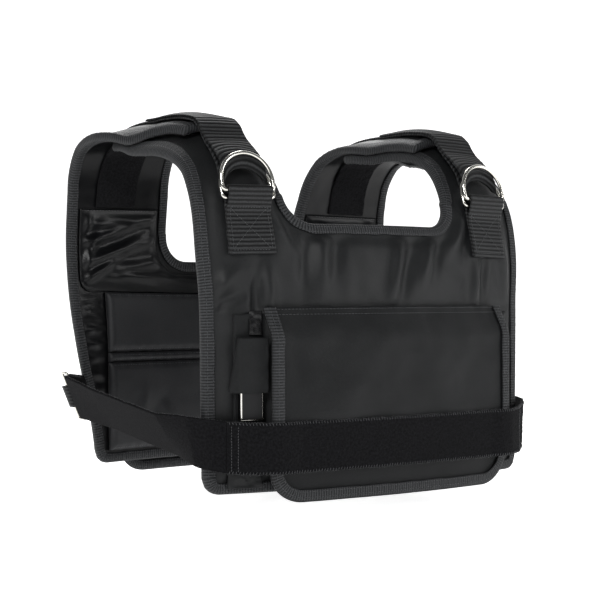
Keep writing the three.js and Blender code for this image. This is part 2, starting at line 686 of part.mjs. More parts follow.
function tabPath() {
  const foot = alongAt(TAB_FOOT);
  const low = PANEL_THICK + CLEAR + WEBBING_THICK / 2;
  const laid = low + WEBBING_THICK + CLEAR;
  const path = [
    { along: foot, out: low, soft: 0.5 },
    { along: (foot + lowerBar) / 2, out: low, soft: 0.25 },
    { along: lowerBar - RING_WIRE, out: ringOut - wrap, soft: 0, rigid: 1 },
    { along: lowerBar, out: ringOut - wrap, soft: 0, rigid: 1 },
  ];
  for (let step = 0; step <= WRAP_STEPS; step += 1) {
    const angle = (Math.PI * step) / WRAP_STEPS;
    const along = upperBar + wrap * Math.sin(angle);
    const out = lerp(ringOut - wrap, upperRingOut + wrap, (1 - Math.cos(angle)) / 2);
    path.push({ along, out, soft: 0, rigid: 1 });
  }
  path.push({ along: lowerBar - RING_WIRE / 2, out: ringOut + wrap, soft: 0, rigid: 1 });
  path.push({ along: lowerBar - RING_WIRE * 2, out: lerp(laid, ringOut + wrap, 0.4), soft: 0, rigid: 1 });
  path.push({ along: lowerBar - RING_WIRE * 3.6, out: laid, soft: 0.1 });
  path.push({ along: (foot + lowerBar) / 2, out: laid, soft: 0.25 });
  path.push({ along: foot, out: laid, soft: 0.5 });
  return path;
}

// A D-ring of bent wire: a straight bar with small corners, two legs and a half-round arc
function ringSolid(bar, barOut, arcOut, line, shift) {
  const half = RING_RADIUS;
  const corner = RING_WIRE * 0.7;
  const outline = [];
  const arcSteps = 10;
  for (let step = 0; step <= arcSteps; step += 1) {
    const angle = (Math.PI * step) / arcSteps;
    outline.push([half * Math.cos(angle), RING_LEG + half * Math.sin(angle)]);
  }
  outline.push([-half, corner], [-half + corner * 0.3, corner * 0.3], [-half + corner, 0]);
  outline.push([half - corner, 0], [half - corner * 0.3, corner * 0.3], [half, corner]);
  const span = WEBBING_WIDTH / 2;
  const origin = shellPoint(line, bar, barOut);
  const top = shellPoint(line, alongAfter(line, bar, barOut, ringReach), arcOut);
  const up = top.sub(origin).normalize();
  const right = shellPoint(line + span, ringSlopeAlong, barOut);
  right.sub(shellPoint(line - span, ringSlopeAlong, barOut));
  right.addScaledVector(up, -right.dot(up)).normalize();
  origin.addScaledVector(right, shift);
  return wireLoop(outline, origin, right, up, RING_WIRE);
}

// Bent wire along a closed outline, given in a plane by its origin and two directions
function wireLoop(outline, origin, right, up, wire) {
  const normal = new THREE.Vector3().crossVectors(right, up);
  const sides = 6;
  const area = outline.reduce((sum, [x, y], i) => {
    const [nextX, nextY] = outline[(i + 1) % outline.length];
    return sum + x * nextY - nextX * y;
  }, 0);
  const ordered = area > 0 ? outline : [...outline].reverse();
  const positions = [];
  ordered.forEach(([x, y], i) => {
    const before = ordered[(i + ordered.length - 1) % ordered.length];
    const after = ordered[(i + 1) % ordered.length];
    const run = new THREE.Vector2(after[0] - before[0], after[1] - before[1]).normalize();
    const away = new THREE.Vector2(run.y, -run.x);
    for (let k = 0; k < sides; k += 1) {
      const angle = (2 * Math.PI * (k + 0.5)) / sides;
      const flat = (wire / 2) * Math.cos(angle);
      const point = origin.clone();
      point.addScaledVector(right, x + away.x * flat);
      point.addScaledVector(up, y + away.y * flat);
      point.addScaledVector(normal, (wire / 2) * Math.sin(angle));
      positions.push(...point.toArray());
    }
  });
  return loopSolid(positions, ordered.length, sides);
}

// Joins the sections of a closed loop
function loopSolid(positions, count, size) {
  const index = [];
  for (let i = 0; i < count; i += 1) {
    const here = i * size;
    const there = ((i + 1) % count) * size;
    for (let k = 0; k < size; k += 1) {
      const next = (k + 1) % size;
      index.push(here + k, there + next, here + next, here + k, there + k, there + next);
    }
  }
  const geometry = new THREE.BufferGeometry();
  geometry.setAttribute("position", new THREE.Float32BufferAttribute(positions, 3));
  geometry.setIndex(index);
  return geometry;
}

for (const { name, side: hand } of HANDS) {
  const line = hand * STRAP_LINE;
  addPiece(`strap_${name}`, webbingSolid(hand, strapPath(), foldBend), WEBBING);
  addPiece(`ring_tab_${name}`, webbingSolid(hand, tabPath()), WEBBING);
  const upper = ringSolid(upperBar, upperRingOut, upperRingOut + RING_LEAN, line, -RING_SHIFT);
  const lower = ringSolid(lowerBar, ringOut, ringOut, line, RING_SHIFT);
  addPiece(`ring_upper_${name}`, upper, STEEL, 0.25, 1);
  addPiece(`ring_lower_${name}`, lower, STEEL, 0.25, 1);
}

// Filled pockets in front, and the flap over them; the back has the flap alone
const FACES = [
  { name: "front", behind: false, hang: -1, shift: FLAP_SHIFT, fill: 1, near: 2 * TAPE_CLEAR },
  { name: "back", behind: true, hang: 1, shift: 0, fill: BACK_FLAP_FILL, near: TAPE_CLEAR },
];
const pocketOut = PANEL_THICK + CLEAR;
const flapInnerX = FLAP_HALF_WIDTH - FLAP_TAPE - 1;

// How far the flap stands off the panel: nothing at its top seam, and more towards its sides
function bulgeAt(x, below, fill = 1) {
  const across = Math.min(Math.abs(x) / FLAP_HALF_WIDTH, 1) ** 2;
  const rise = smooth(below, -6, 34);
  const tuck = 1 - 0.45 * smooth(below, FLAP_LENGTH * 0.62, FLAP_LENGTH * 0.98);
  return fill * POCKET_THICK * (0.75 + 0.45 * across) * rise * tuck;
}

const pocketTop = alongAt(FLAP_TOP);
const pocketPitch = (2 * flapInnerX) / POCKET_COUNT;
const pocketXs = [];
for (let step = 0; step <= POCKET_COUNT * 2; step += 1) {
  pocketXs.push(-flapInnerX + (step * pocketPitch) / 2);
}
const pocketSides = [flapInnerX + 3, POCKET_HALF_WIDTH];
const allPocketXs = [-pocketSides[1], -pocketSides[0], ...pocketXs, ...pocketSides];
const pocketRows = [6, 24, 60, 120, POCKET_LENGTH];
const pocketSkin = 1.6;
const pocketPoint = (below, x, face) => {
  const along = pocketTop - below;
  if (!face) return shellPoint(x, along, pocketOut);
  const seam = Math.abs(Math.cos((Math.PI * (x + flapInnerX)) / pocketPitch)) ** 4;
  const full = Math.max(bulgeAt(x - FLAP_SHIFT, below) - 3 * CLEAR, pocketSkin);
  const thick = Math.abs(x) <= flapInnerX ? full * (1 - 0.3 * seam) : pocketSkin;
  return shellPoint(x, along, pocketOut + Math.max(thick, pocketSkin));
};
addPiece("weight_pockets", sheetSolid(pocketRows.reverse(), allPocketXs, pocketPoint), NYLON, 0.6);

const roundX = FLAP_HALF_WIDTH - FLAP_CORNER; // where the round lower corners start
const FLAP_SHARES = [1, 0.76, 0.52, 0.26];
const flapOuts = {};
for (const { name, behind, hang, shift, fill, near } of FACES) {
  const top = alongAt(FLAP_TOP, behind);
  const across = [FLAP_HALF_WIDTH, flapInnerX, ...FLAP_SHARES.map((share) => share * roundX), 0];
  const flapXs = [...across.map((x) => -x), ...across.slice(0, -1).reverse()];
  const flapRows = [0, 14, 34, 75, 120, 160, FLAP_LENGTH - FLAP_TAPE - 1, FLAP_LENGTH];
  const reach = (x) => {
    const past = Math.abs(x) - roundX;
    const rise = past <= 0 ? 0 : FLAP_CORNER - Math.sqrt(Math.max(FLAP_CORNER ** 2 - past ** 2, 0));
    return 1 - rise / FLAP_LENGTH;
  };
  const flapNode = (row, x) => ({ x: x + shift, along: top + hang * row * reach(x) });
  const flapOut = (x, along, face) => {
    const ripple = behind ? 0 : FLAP_RIPPLE * dentAt(x, along, FLAP_FOLDS);
    const bulge = bulgeAt(x - shift, (along - top) * hang, fill) + ripple;
    return pocketOut + near + TAPE_THICK + bulge + (face ? FLAP_THICK : 0);
  };
  flapOuts[name] = flapOut;
  const flapPoint = (row, x, face) => {
    const node = flapNode(row, x);
    return shellPoint(node.x, node.along, flapOut(node.x, node.along, face));
  };
  addPiece(`${name}_flap`, sheetSolid(flapRows, flapXs, flapPoint, hang < 0), TWILL, 0.8);
  const leftEdge = flapRows.map((row) => flapNode(row, -FLAP_HALF_WIDTH));
  const lowEdge = flapXs.slice(1, -1).map((x) => flapNode(FLAP_LENGTH, x));
  const rightEdge = [...flapRows].reverse().map((row) => flapNode(row, FLAP_HALF_WIDTH));
  const line = [...leftEdge, ...lowEdge, ...rightEdge];
  if (hang > 0) line.reverse();
  addPiece(`${name}_flap_binding`, tapeSolid(line, flapOut, false, FLAP_TAPE, near), TAPE);
}

// The outermost pocket on the left, the only one that shows: its weight, the closure over it,
// the pull and the folded hem. Columns are distances from the middle, rows are drops.
function sideSheet(columns, rows, outAt, thick) {
  const xs = columns.map((x) => -x).sort((a, b) => a - b);
  const point = (drop, x, face) => shellPoint(x, alongAt(drop), outAt(-x) + face * thick);
  return sheetSolid([...rows].reverse(), xs, point);
}

const barBase = pocketOut + pocketSkin + CLEAR;
const barTop = barBase + BAR_THICK;
const barOuter = BAR_INNER + BAR_WIDTH;
const chamfer = 1.5;
const [halfX, halfY] = [BAR_WIDTH / 2, BAR_THICK / 2];
const weight = new THREE.Shape();
weight.moveTo(-halfX + chamfer, -halfY).lineTo(halfX - chamfer, -halfY).lineTo(halfX, -halfY + chamfer);
weight.lineTo(halfX, halfY - chamfer).lineTo(halfX - chamfer, halfY).lineTo(-halfX + chamfer, halfY);
weight.lineTo(-halfX, halfY - chamfer).lineTo(-halfX, -halfY + chamfer).closePath();
const bar = new THREE.ExtrudeGeometry(weight, { depth: BAR_LENGTH, bevelEnabled: false });
const barEnds = [BAR_INNER, barOuter].map((x) => shellPoint(-x, alongAt(BAR_DROP), 0));
bar.rotateZ(Math.atan2(barEnds[0].y - barEnds[1].y, BAR_WIDTH));
const barPlace = shellPoint(-BAR_INNER - halfX, alongAt(BAR_DROP), barBase + halfY + CLEAR);
bar.translate(barPlace.x, barPlace.y, -BAR_DROP - BAR_LENGTH / 2);
addPiece("weight_left", bar, STEEL, 0.4, 1);

const pocketEdges = [BAR_INNER - 3, barOuter];
const coverOut = (x) => lerp(barTop + 3 * CLEAR, barBase + 3, smooth(x, barOuter + 0.5, CLOSURE_OUTER));
const coverXs = [...pocketEdges, barOuter + 5, CLOSURE_OUTER];
const closure = sideSheet(coverXs, [CLOSURE_TOP, CLOSURE_FOOT], coverOut, FLAP_THICK);
addPiece("pocket_closure_left", closure, TWILL, 0.8);
const pullXs = [BAR_INNER - 2, BAR_INNER + PULL_WIDTH - 2];
const pull = sideSheet(pullXs, [PULL_TOP, CLOSURE_TOP - 2], () => barBase, FLAP_THICK);
addPiece("pocket_pull_left", pull, SATIN, 0.3);
const hemTop = FLAP_TOP + POCKET_LENGTH + CLEAR;
const hemXs = [...pocketEdges, CLOSURE_OUTER - 1];
const hem = sideSheet(hemXs, [hemTop, hemTop + HEM_DEEP], () => pocketOut, HEM_THICK);
addPiece("pocket_hem_left", hem, TWILL, 0.8);

// Belt: a band of webbing over points that each have a place and a direction across the band
function bandSolid(points, width, thick) {
  const rows = points.map(({ place, across }, i) => {
    const before = points[Math.max(i - 1, 0)].place;
    const after = points[Math.min(i + 1, points.length - 1)].place;
    const run = after.clone().sub(before).normalize();
    return { place, across, normal: new THREE.Vector3().crossVectors(run, across).normalize() };
  });
  const point = (row, offset, face) => {
    const moved = row.place.clone().addScaledVector(row.across, offset);
    return moved.addScaledVector(row.normal, (face - 0.5) * thick);
  };
  return sheetSolid(rows, [-width / 2, 0, width / 2], point, true);
}

const upright = new THREE.Vector3(0, 0, 1);
const beltDrops = [BELT_DROP - BELT_WIDTH / 2, BELT_DROP, BELT_DROP + BELT_WIDTH / 2];
const beltAlong = alongAt(BELT_DROP);

// The belt's middle in front, clear of the flap and of the tape at its sides
function beltFront(x) {
  const fromFlap = Math.abs(x - FLAP_SHIFT);
  const taped = smooth(fromFlap, flapInnerX - 20, flapInnerX) * (2 * TAPE_CLEAR + TAPE_THICK);
  const outs = beltDrops.map((drop) => flapOuts.front(x, alongAt(drop), 1));
  const out = Math.max(...outs) + taped + SOFT_CLEAR + BELT_THICK / 2;
  return shellPoint(x, beltAlong, out).setZ(-BELT_DROP);
}

const halfBreaks = [FLAP_HALF_WIDTH + 3, flapInnerX, ...FLAP_SHARES.map((share) => share * roundX)];
const flapBreaks = [...halfBreaks.map((x) => -x), 0, ...[...halfBreaks].reverse()];
const frontPlaces = flapBreaks.map((x) => beltFront(x + FLAP_SHIFT));
const beltEnd = (hand) => new THREE.Vector3(hand * BELT_SEAM, -BELT_CORNER_Y, -BELT_DROP + 2);
const bendPlace = (hand) => new THREE.Vector3(hand * (BELT_SEAM - 10), -BELT_CORNER_Y - 9, -BELT_DROP + 1);
const frontBelt = [beltEnd(-1), bendPlace(-1), ...frontPlaces, bendPlace(1), beltEnd(1)];
const frontPoints = frontBelt.map((place) => ({ place, across: upright }));
addPiece("belt_front", bandSolid(frontPoints, BELT_WIDTH, BELT_THICK), LOOP, 1);

// The free length at each side, right hand, from front to back: its middle in plan, its drop
// and how far it leans as a share of BELT_TILT
const BELT_SIDE = [
  { x: 190.4, y: -155.6, drop: 316, lean: 0 },
  { x: 203, y: -146, drop: 314, lean: 0.1 },
  { x: 214, y: -128, drop: 311, lean: 0.35 },
  { x: 220, y: -90, drop: 307, lean: 1 },
  { x: 223, y: -30, drop: 299, lean: 1 },
  { x: 225, y: 40, drop: 290, lean: 1 },
  { x: 226.5, y: 88, drop: 284, lean: 0.8 },
  { x: 226, y: 110, drop: 282, lean: 0.7 },
];
// The tab from the back panel round the rear bar of the belt's ring and back, right hand
const BELT_TAB = [
  { x: 172, y: 140.5 },
  { x: 196, y: 134.5 },
  { x: 209, y: 131.8 },
  { x: 217, y: 128.4 },
  { x: 219.2, y: 124.2 },
  { x: 220.3, y: 121.5 },
  { x: 223.1, y: 120.3 },
  { x: 225.9, y: 121.5 },
  { x: 227, y: 124.2 },
  { x: 225.4, y: 131 },
  { x: 218, y: 135.9 },
  { x: 196, y: 137.1 },
  { x: 172, y: 143.2 },
];
const buckleWrap = BUCKLE_WIRE / 2 + CLEAR + BELT_THICK / 2;

for (const { name, side: hand } of HANDS) {
  const leaning = (lean) => {
    const tilt = THREE.MathUtils.degToRad(BELT_TILT * lean);
    return new THREE.Vector3(hand * Math.sin(tilt), 0, Math.cos(tilt));
  };
  const rows = BELT_SIDE.map((row) => ({
    place: new THREE.Vector3(hand * row.x, row.y, -row.drop),
    across: leaning(row.lean),
  }));
  const end = BELT_SIDE[BELT_SIDE.length - 1];
  const last = rows[rows.length - 1].place;
  const run = new THREE.Vector3(0, 1, 0);
  const across = leaning(end.lean);
  const outward = new THREE.Vector3().crossVectors(run, across).multiplyScalar(hand).normalize();
  const front = last.clone().addScaledVector(outward, -buckleWrap).addScaledVector(run, 2);
  for (let step = 0; step <= 4; step += 1) {
    const angle = (Math.PI * step) / 4;
    const place = front.clone().addScaledVector(outward, buckleWrap * Math.cos(angle));
    rows.push({ place: place.addScaledVector(run, buckleWrap * Math.sin(angle)), across });
  }
  const under = front.clone().addScaledVector(outward, -buckleWrap);
  rows.push({ place: under.clone().addScaledVector(run, -9), across });
  rows.push({ place: under.clone().addScaledVector(run, -BELT_FOLD), across });
  addPiece(`belt_side_${name}`, bandSolid(rows, BELT_WIDTH, BELT_THICK), LOOP, 1);

  const half = BELT_WIDTH / 2 + BUCKLE_WIRE;
  const cut = BUCKLE_WIRE / 2;
  const outline = [
    [0, -half + cut], [0, half - cut], [cut, half], [BUCKLE_GAP - cut, half],
    [BUCKLE_GAP, half - cut], [BUCKLE_GAP, -half + cut], [BUCKLE_GAP - cut, -half], [cut, -half],
  ];
  const buckle = wireLoop(outline, front, run, across, BUCKLE_WIRE);
  addPiece(`belt_ring_${name}`, buckle, STEEL, 0.3, 1);
  const tab = BELT_TAB.map(({ x, y }) => ({ place: new THREE.Vector3(hand * x, y, -end.drop), across }));
  addPiece(`belt_tab_${name}`, bandSolid(tab, BELT_TAB_WIDTH, BELT_TAB_THICK), WEBBING);
}

export default group;
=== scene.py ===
# %% [markdown]
# # A short weighted vest
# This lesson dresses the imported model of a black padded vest: two padded panels joined over the
# shoulders, double D-ring buckles, a flap over weight pockets and a loop-faced belt.
# Lengths of the vest are in millimetres until its meshes are made. The studio is in metres.

# %% Load the frame
import math
from functools import partial

import bmesh
import bpy
import numpy as np
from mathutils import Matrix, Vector


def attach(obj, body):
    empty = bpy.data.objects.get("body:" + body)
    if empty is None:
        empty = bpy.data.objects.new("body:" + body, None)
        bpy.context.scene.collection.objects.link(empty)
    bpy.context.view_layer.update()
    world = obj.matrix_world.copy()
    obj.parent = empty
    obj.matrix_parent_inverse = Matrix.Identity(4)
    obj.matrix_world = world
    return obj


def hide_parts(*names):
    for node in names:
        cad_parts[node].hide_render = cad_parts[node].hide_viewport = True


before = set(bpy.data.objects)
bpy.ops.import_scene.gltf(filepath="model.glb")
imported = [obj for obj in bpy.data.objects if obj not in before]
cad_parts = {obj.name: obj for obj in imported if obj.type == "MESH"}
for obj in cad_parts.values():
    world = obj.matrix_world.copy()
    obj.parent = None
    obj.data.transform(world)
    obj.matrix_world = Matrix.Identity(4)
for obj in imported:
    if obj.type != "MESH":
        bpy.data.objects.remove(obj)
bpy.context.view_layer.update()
MM = 0.001
print("nodes", len(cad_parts))

# %% [markdown]
# ## Sizes
# A sewn vest is cut from flat patterns, so its layers share one curve: the side view from the
# front hem over the shoulder to the back hem. Each layer is then a height above that curve.
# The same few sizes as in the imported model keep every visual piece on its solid.

# %% Named sizes
VEST_HEIGHT = 357
VEST_HALF_DEPTH = 132
FRONT_HALF_WIDTH = 203
BACK_HALF_WIDTH = 233
NECK_HALF_WIDTH = 107
FRONT_NECK_DEPTH = 100
BACK_NECK_DEPTH = 132
NECK_CORNER = 32
HEM_CORNER = 14
BODY_BOW = 26
SHOULDER_ARCH = 20
STRAP_LINE = 154
PANEL_THICK = 9
EDGE_THICK = 6
TONGUE_THICK = 5.5
TAPE_WIDTH = 9
TAPE_CLEAR = 1.1
TAPE_THICK = 1
CLEAR = 0.5
SOFT_CLEAR = 0.9
WEBBING_WIDTH = 49
WEBBING_THICK = 2
STATION = 24
LEG_WIDTH = 110
TONGUE_PAST_CREST = 62
YOKE_BEFORE_CREST = 52
LEG_SEAM = 78
RING_DROP = 70
TAB_FOOT = 129
RING_WIRE = 4.4
RING_RADIUS = 29
RING_LEG = 10
FLAP_HALF_WIDTH = 152
FLAP_SHIFT = 8
FLAP_TOP = 181
FLAP_LENGTH = 190
FLAP_CORNER = 34
FLAP_THICK = 1.4
FLAP_TAPE = 9
POCKET_THICK = 14
POCKET_HALF_WIDTH = 176
POCKET_COUNT = 9
PAD_HALF_WIDTH = 176
PAD_THICK = 9
PAD_TOP = 167
PAD_SPLIT = 240
LINING_TOP = 71
BELT_WIDTH = 50
BELT_THICK = 2.4
BELT_DROP = 318

# Side view: y, z, bow, arch, and the widths of front, back and neck, each as a share
PROFILE = [
    (-1.053, -1.015, 1, 0, 0.99, 1, 1),
    (-1.053, -0.75, 1, 0, 0.995, 1, 1),
    (-1.05, -0.504, 1, 0, 1, 1, 1),
    (-1.015, -0.361, 0.75, 0, 1.015, 1, 1),
    (-0.94, -0.244, 0.4, 0.05, 1.015, 1, 1),
    (-0.875, -0.165, 0.3, 0.25, 1.01, 0.8, 1.03),
    (-0.78, -0.104, 0.25, 0.5, 1, 0.78, 1.06),
    (-0.652, -0.056, 0.2, 0.75, 1, 0.78, 1.08),
    (-0.5, -0.027, 0.1, 0.92, 1, 0.785, 1.09),
    (-0.318, -0.0084, 0, 1, 1.005, 0.8, 1.09),
    (-0.09, 0, 0, 1, 1.01, 0.83, 1.07),
    (0.106, -0.003, 0, 0.85, 1.01, 0.88, 1.03),
    (0.34, -0.007, 0, 0.5, 1, 0.92, 1),
    (0.56, -0.02, 0, 0.25, 1, 0.945, 0.98),
    (0.77, -0.05, 0, 0.1, 1, 0.95, 0.95),
    (0.94, -0.11, 0.1, 0, 1, 0.945, 0.91),
    (1.05, -0.21, 0.35, 0, 1, 0.94, 0.87),
    (1.075, -0.38, 0.8, 0, 1, 0.95, 0.85),
    (1.008, -0.616, 1.15, 0, 1, 0.935, 0.85),
    (0.985, -1, 1.1, 0, 1, 0.82, 0.85),
]
PROFILE_NAMES = ["bow", "arch", "front", "back", "neck"]


# %% [markdown]
# A few tools measure a line of points, read a table between its rows and round its corners. The
# straps, the belt and the bindings are then paths in such a table, given a width.

# %% Lines and tables
def unit(vectors):
    return vectors / (np.linalg.norm(vectors, axis=-1, keepdims=True) + 1e-9)


def lengths_along(points):
    """The length along a line of points, at each of them."""
    return np.concatenate([[0], np.cumsum(np.linalg.norm(np.diff(points, axis=0), axis=1))])


def placed_at(spots, at, table):
    """The rows of a table at new spots, where at holds the place of each row that it has."""
    return np.stack([np.interp(spots, at, values) for values in table.T], 1)


def eased(table, width):
    """The columns of a table with their corners rounded over a number of rows."""
    kernel = np.hanning(width + 2)[1:-1]
    kernel /= kernel.sum()
    held = np.pad(table, ((width // 2,) * 2, (0, 0)), mode="reflect", reflect_type="odd")
    return np.stack([np.convolve(values, kernel, "valid") for values in held.T], 1)


def crossed(rows, cols):
    """Every pair of a row's and a column's value, as two long arrays."""
    return [part.ravel() for part in np.meshgrid(rows, cols, indexing="ij")]


def smooth(value, low, high):
    """A share that rises softly from 0 at low to 1 at high."""
    share = np.clip((np.asarray(value, float) - low) / (high - low), 0, 1)
    return share * share * (3 - 2 * share)


def mix(a, b, share):
    return a + (b - a) * share


HALF_TURN = np.linspace(0, math.pi, 9)
print("profile rows", len(PROFILE))

# %% [markdown]
# The side curve runs through the profile's points. A station is a place along it, with the way
# out of the cloth there, and shell() turns a place on the cloth and a height to a point.


# %% The side curve and the layers above it
def centripetal(points, t):
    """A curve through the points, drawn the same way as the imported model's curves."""
    place = t * (len(points) - 1)
    index = np.minimum(place.astype(int), len(points) - 2)
    weight = (place - index)[:, None]
    padded = np.vstack([2 * points[0] - points[1], points, 2 * points[-1] - points[-2]])
    p = [padded[index + k] for k in range(4)]
    step = [np.linalg.norm(p[k + 1] - p[k], axis=1)[:, None] ** 0.5 for k in range(3)]
    t1 = (p[1] - p[0]) / step[0] - (p[2] - p[0]) / (step[0] + step[1]) + (p[2] - p[1]) / step[1]
    t2 = (p[2] - p[1]) / step[1] - (p[3] - p[1]) / (step[1] + step[2]) + (p[3] - p[2]) / step[2]
    t1 = t1 * step[1]
    t2 = t2 * step[1]
    square = -3 * p[1] + 3 * p[2] - 2 * t1 - t2
    cube = 2 * p[1] - 2 * p[2] + t1 + t2
    return p[1] + weight * (t1 + weight * (square + weight * cube))


def column(values, place):
    last = len(values) - 1
    index = np.minimum(place.astype(int), last - 1)
    a, b, c, d = (values[np.clip(index + k, 0, last)] for k in (-1, 0, 1, 2))
    s = place - index
    return b + 0.5 * s * (c - a + s * (2 * a - 5 * b + 4 * c - d + (3 * b - a - 3 * c + d) * s))


profile = np.array(PROFILE)
samples = np.linspace(0, 1, 6001)
side = centripetal(profile[:, :2] * [VEST_HALF_DEPTH, VEST_HEIGHT], samples)
lengths = lengths_along(side)
SIDE_LENGTH = lengths[-1]
tangent = np.gradient(side, lengths, axis=0)
tangent /= np.linalg.norm(tangent, axis=1)[:, None]
columns = {"y": side[:, 0], "z": side[:, 1], "out_y": -tangent[:, 1], "out_z": tangent[:, 0]}
for number, name in enumerate(PROFILE_NAMES):
    columns[name] = column(profile[:, 2 + number], samples * (len(PROFILE) - 1))


def station(along):
    inside = np.clip(along, 0, SIDE_LENGTH)
    found = {name: np.interp(inside, lengths, values) for name, values in columns.items()}
    past = np.asarray(along) - inside
    found["y"] = found["y"] + past * found["out_z"]
    found["z"] = found["z"] - past * found["out_y"]
    return found


def inward(x, found):
    away = np.abs(x)
    bow = (away**2 - STRAP_LINE**2) / FRONT_HALF_WIDTH**2
    arch = ((np.maximum(away, NECK_HALF_WIDTH) - STRAP_LINE) / (FRONT_HALF_WIDTH - STRAP_LINE)) ** 2
    return BODY_BOW * found["bow"] * bow + SHOULDER_ARCH * found["arch"] * np.minimum(arch, 1.15)


def shell(x, along, out):
    """Points at x, at a length along the side curve, at a height out from the inner face."""
    x, along, out = np.broadcast_arrays(x, along, out)
    found = station(along)
    reach = out - inward(x, found)
    return np.stack([x, found["y"] + found["out_y"] * reach, found["z"] + found["out_z"] * reach], -1)


heights = np.interp(np.arange(0, SIDE_LENGTH), lengths, columns["z"])
CREST = float(np.argmax(heights))


def along_at(drop, behind=False):
    low = lengths >= CREST if behind else lengths <= CREST
    z = columns["z"][low]
    order = slice(None, None, -1) if behind else slice(None)
    return float(np.interp(-drop, z[order], lengths[low][order]))


print("side length", round(SIDE_LENGTH, 1), "crest", CREST)

# %% [markdown]
# ## Cloth relief
# Cloth is never flat: it dents between seams, and it puckers where a stitch line draws it up.
# A seeded lattice noise gives the small relief, and short tables place the folds that show.


# %% Noise and folds
LATTICE = np.random.default_rng(7).random((256, 256))


def noise(u, v, seed=0):
    u = np.asarray(u, float) + seed * 17.3
    v = np.asarray(v, float) + seed * 9.7
    iu, iv = np.floor(u).astype(int), np.floor(v).astype(int)
    fu, fv = u - iu, v - iv
    fu, fv = fu * fu * (3 - 2 * fu), fv * fv * (3 - 2 * fv)
    corner = [[LATTICE[(iu + a) % 256, (iv + b) % 256] for b in (0, 1)] for a in (0, 1)]
    low = mix(corner[0][0], corner[0][1], fv)
    high = mix(corner[1][0], corner[1][1], fv)
    return 2 * mix(low, high, fu) - 1


def fractal(u, v, seed=0, octaves=3):
    total = 0
    for octave in range(octaves):
        total = total + noise(u * 2**octave, v * 2**octave, seed + octave) / 2**octave
    return total


def creased(u, v, seed=0):
    """Rounded swells with sharp valleys between them, as in crumpled cloth."""
    bend = noise(u * 0.5, v * 0.5, seed + 5)
    return np.abs(noise(u + bend, v + 0.6 * bend, seed)) + 0.5 * np.abs(noise(2 * u, 2 * v + bend, seed + 2))


def folds(x, z, table):
    """Sum of long soft ridges: middle, lean from the vertical, half length, half width, height."""
    total = 0
    for row_x, row_z, lean, long, wide, high in table:
        turn = math.radians(lean)
        down = (x - row_x) * math.sin(turn) + (z - row_z) * math.cos(turn)
        over = (x - row_x) * math.cos(turn) - (z - row_z) * math.sin(turn)
        over = over + 0.12 * wide * np.sin(down / long * 2.2 + row_x)
        total = total + high * np.exp(-((down / long) ** 2) - (over / wide) ** 2)
    return total


def edge_distance(x, along, line_x, line_along):
    """Distance of each place from an edge line, all measured on the cloth."""
    best = np.full(np.shape(x), 1e9)
    start = np.stack([line_x, line_along], 1)
    ends = np.roll(start, -1, axis=0)
    for (ax, ay), (bx, by) in zip(start, ends):
        run_x, run_y = bx - ax, by - ay
        square = run_x**2 + run_y**2
        if square == 0:
            continue
        share = np.clip(((x - ax) * run_x + (along - ay) * run_y) / square, 0, 1)
        best = np.minimum(best, (x - ax - share * run_x) ** 2 + (along - ay - share * run_y) ** 2)
    return np.sqrt(best)


# %% [markdown]
# ## Materials
# The vest is all synthetic: coated nylon, polypropylene webbing, brushed nylon loop and nickel
# on steel. One function adds a node with its settings and links, so each material stays short.


# %% Colours, nodes and shaders
def linear(text):
    parts = [int(text[k : k + 2], 16) / 255 for k in (1, 3, 5)]
    return [p / 12.92 if p <= 0.04045 else ((p + 0.055) / 1.055) ** 2.4 for p in parts] + [1.0]


def add(tree, kind, links=None, values=None, **settings):
    made = tree.nodes.new(kind)
    for name, value in settings.items():
        setattr(made, name, value)
    for name, value in (values or {}).items():
        made.inputs[name].default_value = value
    for name, source in (links or {}).items():
        tree.links.new(source, made.inputs[name])
    return made


def new_material(name, **values):
    material = bpy.data.materials.new(name)
    material.use_nodes = True
    tree = material.node_tree
    shader = tree.nodes["Principled BSDF"]
    for socket, value in values.items():
        shader.inputs[socket.replace("_", " ")].default_value = value
    return material, tree, shader


def speckle(tree, places, scale, detail, **more):
    values = {"Scale": scale, "Detail": detail, **more}
    return add(tree, "ShaderNodeTexNoise", {"Vector": places}, values).outputs["Fac"]


def both_of(tree, first, second, operation="MULTIPLY"):
    return add(tree, "ShaderNodeMath", {0: first, 1: second}, operation=operation).outputs[0]


def coloured(tree, shader, factor, *stops):
    """Gives the shader a colour between two stops, each a place from 0 to 1 and a colour."""
    ramp = add(tree, "ShaderNodeValToRGB", {"Fac": factor})
    for element, (place, colour) in zip(ramp.color_ramp.elements, stops):
        element.position = place
        element.color = linear(colour)
    tree.links.new(ramp.outputs["Color"], shader.inputs["Base Color"])


# A wave texture's scale times the length of its wave
WAVE = math.pi / 10


def threads(tree, places, length, distortion, direction, **more):
    """Waves over the cloth, a length in millimetres apart."""
    values = {"Scale": WAVE / length, "Distortion": distortion, "Detail": 1.0, **more}
    wave = add(tree, "ShaderNodeTexWave", {"Vector": places}, values, bands_direction=direction)
    return wave.outputs["Fac"]


def bumped(tree, shader, height, strength, depth):
    """Gives the shader a bump from a height, with its depth in millimetres."""
    values = {"Strength": strength, "Distance": depth * MM}
    bump = add(tree, "ShaderNodeBump", {"Height": height}, values)
    tree.links.new(bump.outputs[0], shader.inputs["Normal"])


# %% [markdown]
# Each cloth repeats a pattern at its real size: crossed threads in a weave, ribs in grosgrain and
# webbing, tufts in brushed loop.


# %% The cloths and the metal
def cloth_material(name, roughness, sheen, sheen_roughness, specular):
    """A material with its tree and shader, and the places on the cloth in millimetres."""
    material, tree, shader = new_material(name, Roughness=roughness, Sheen_Weight=sheen)
    shader.inputs["Sheen Roughness"].default_value = sheen_roughness
    shader.inputs["Specular IOR Level"].default_value = specular
    return material, tree, shader, add(tree, "ShaderNodeUVMap", uv_map="cloth").outputs[0]


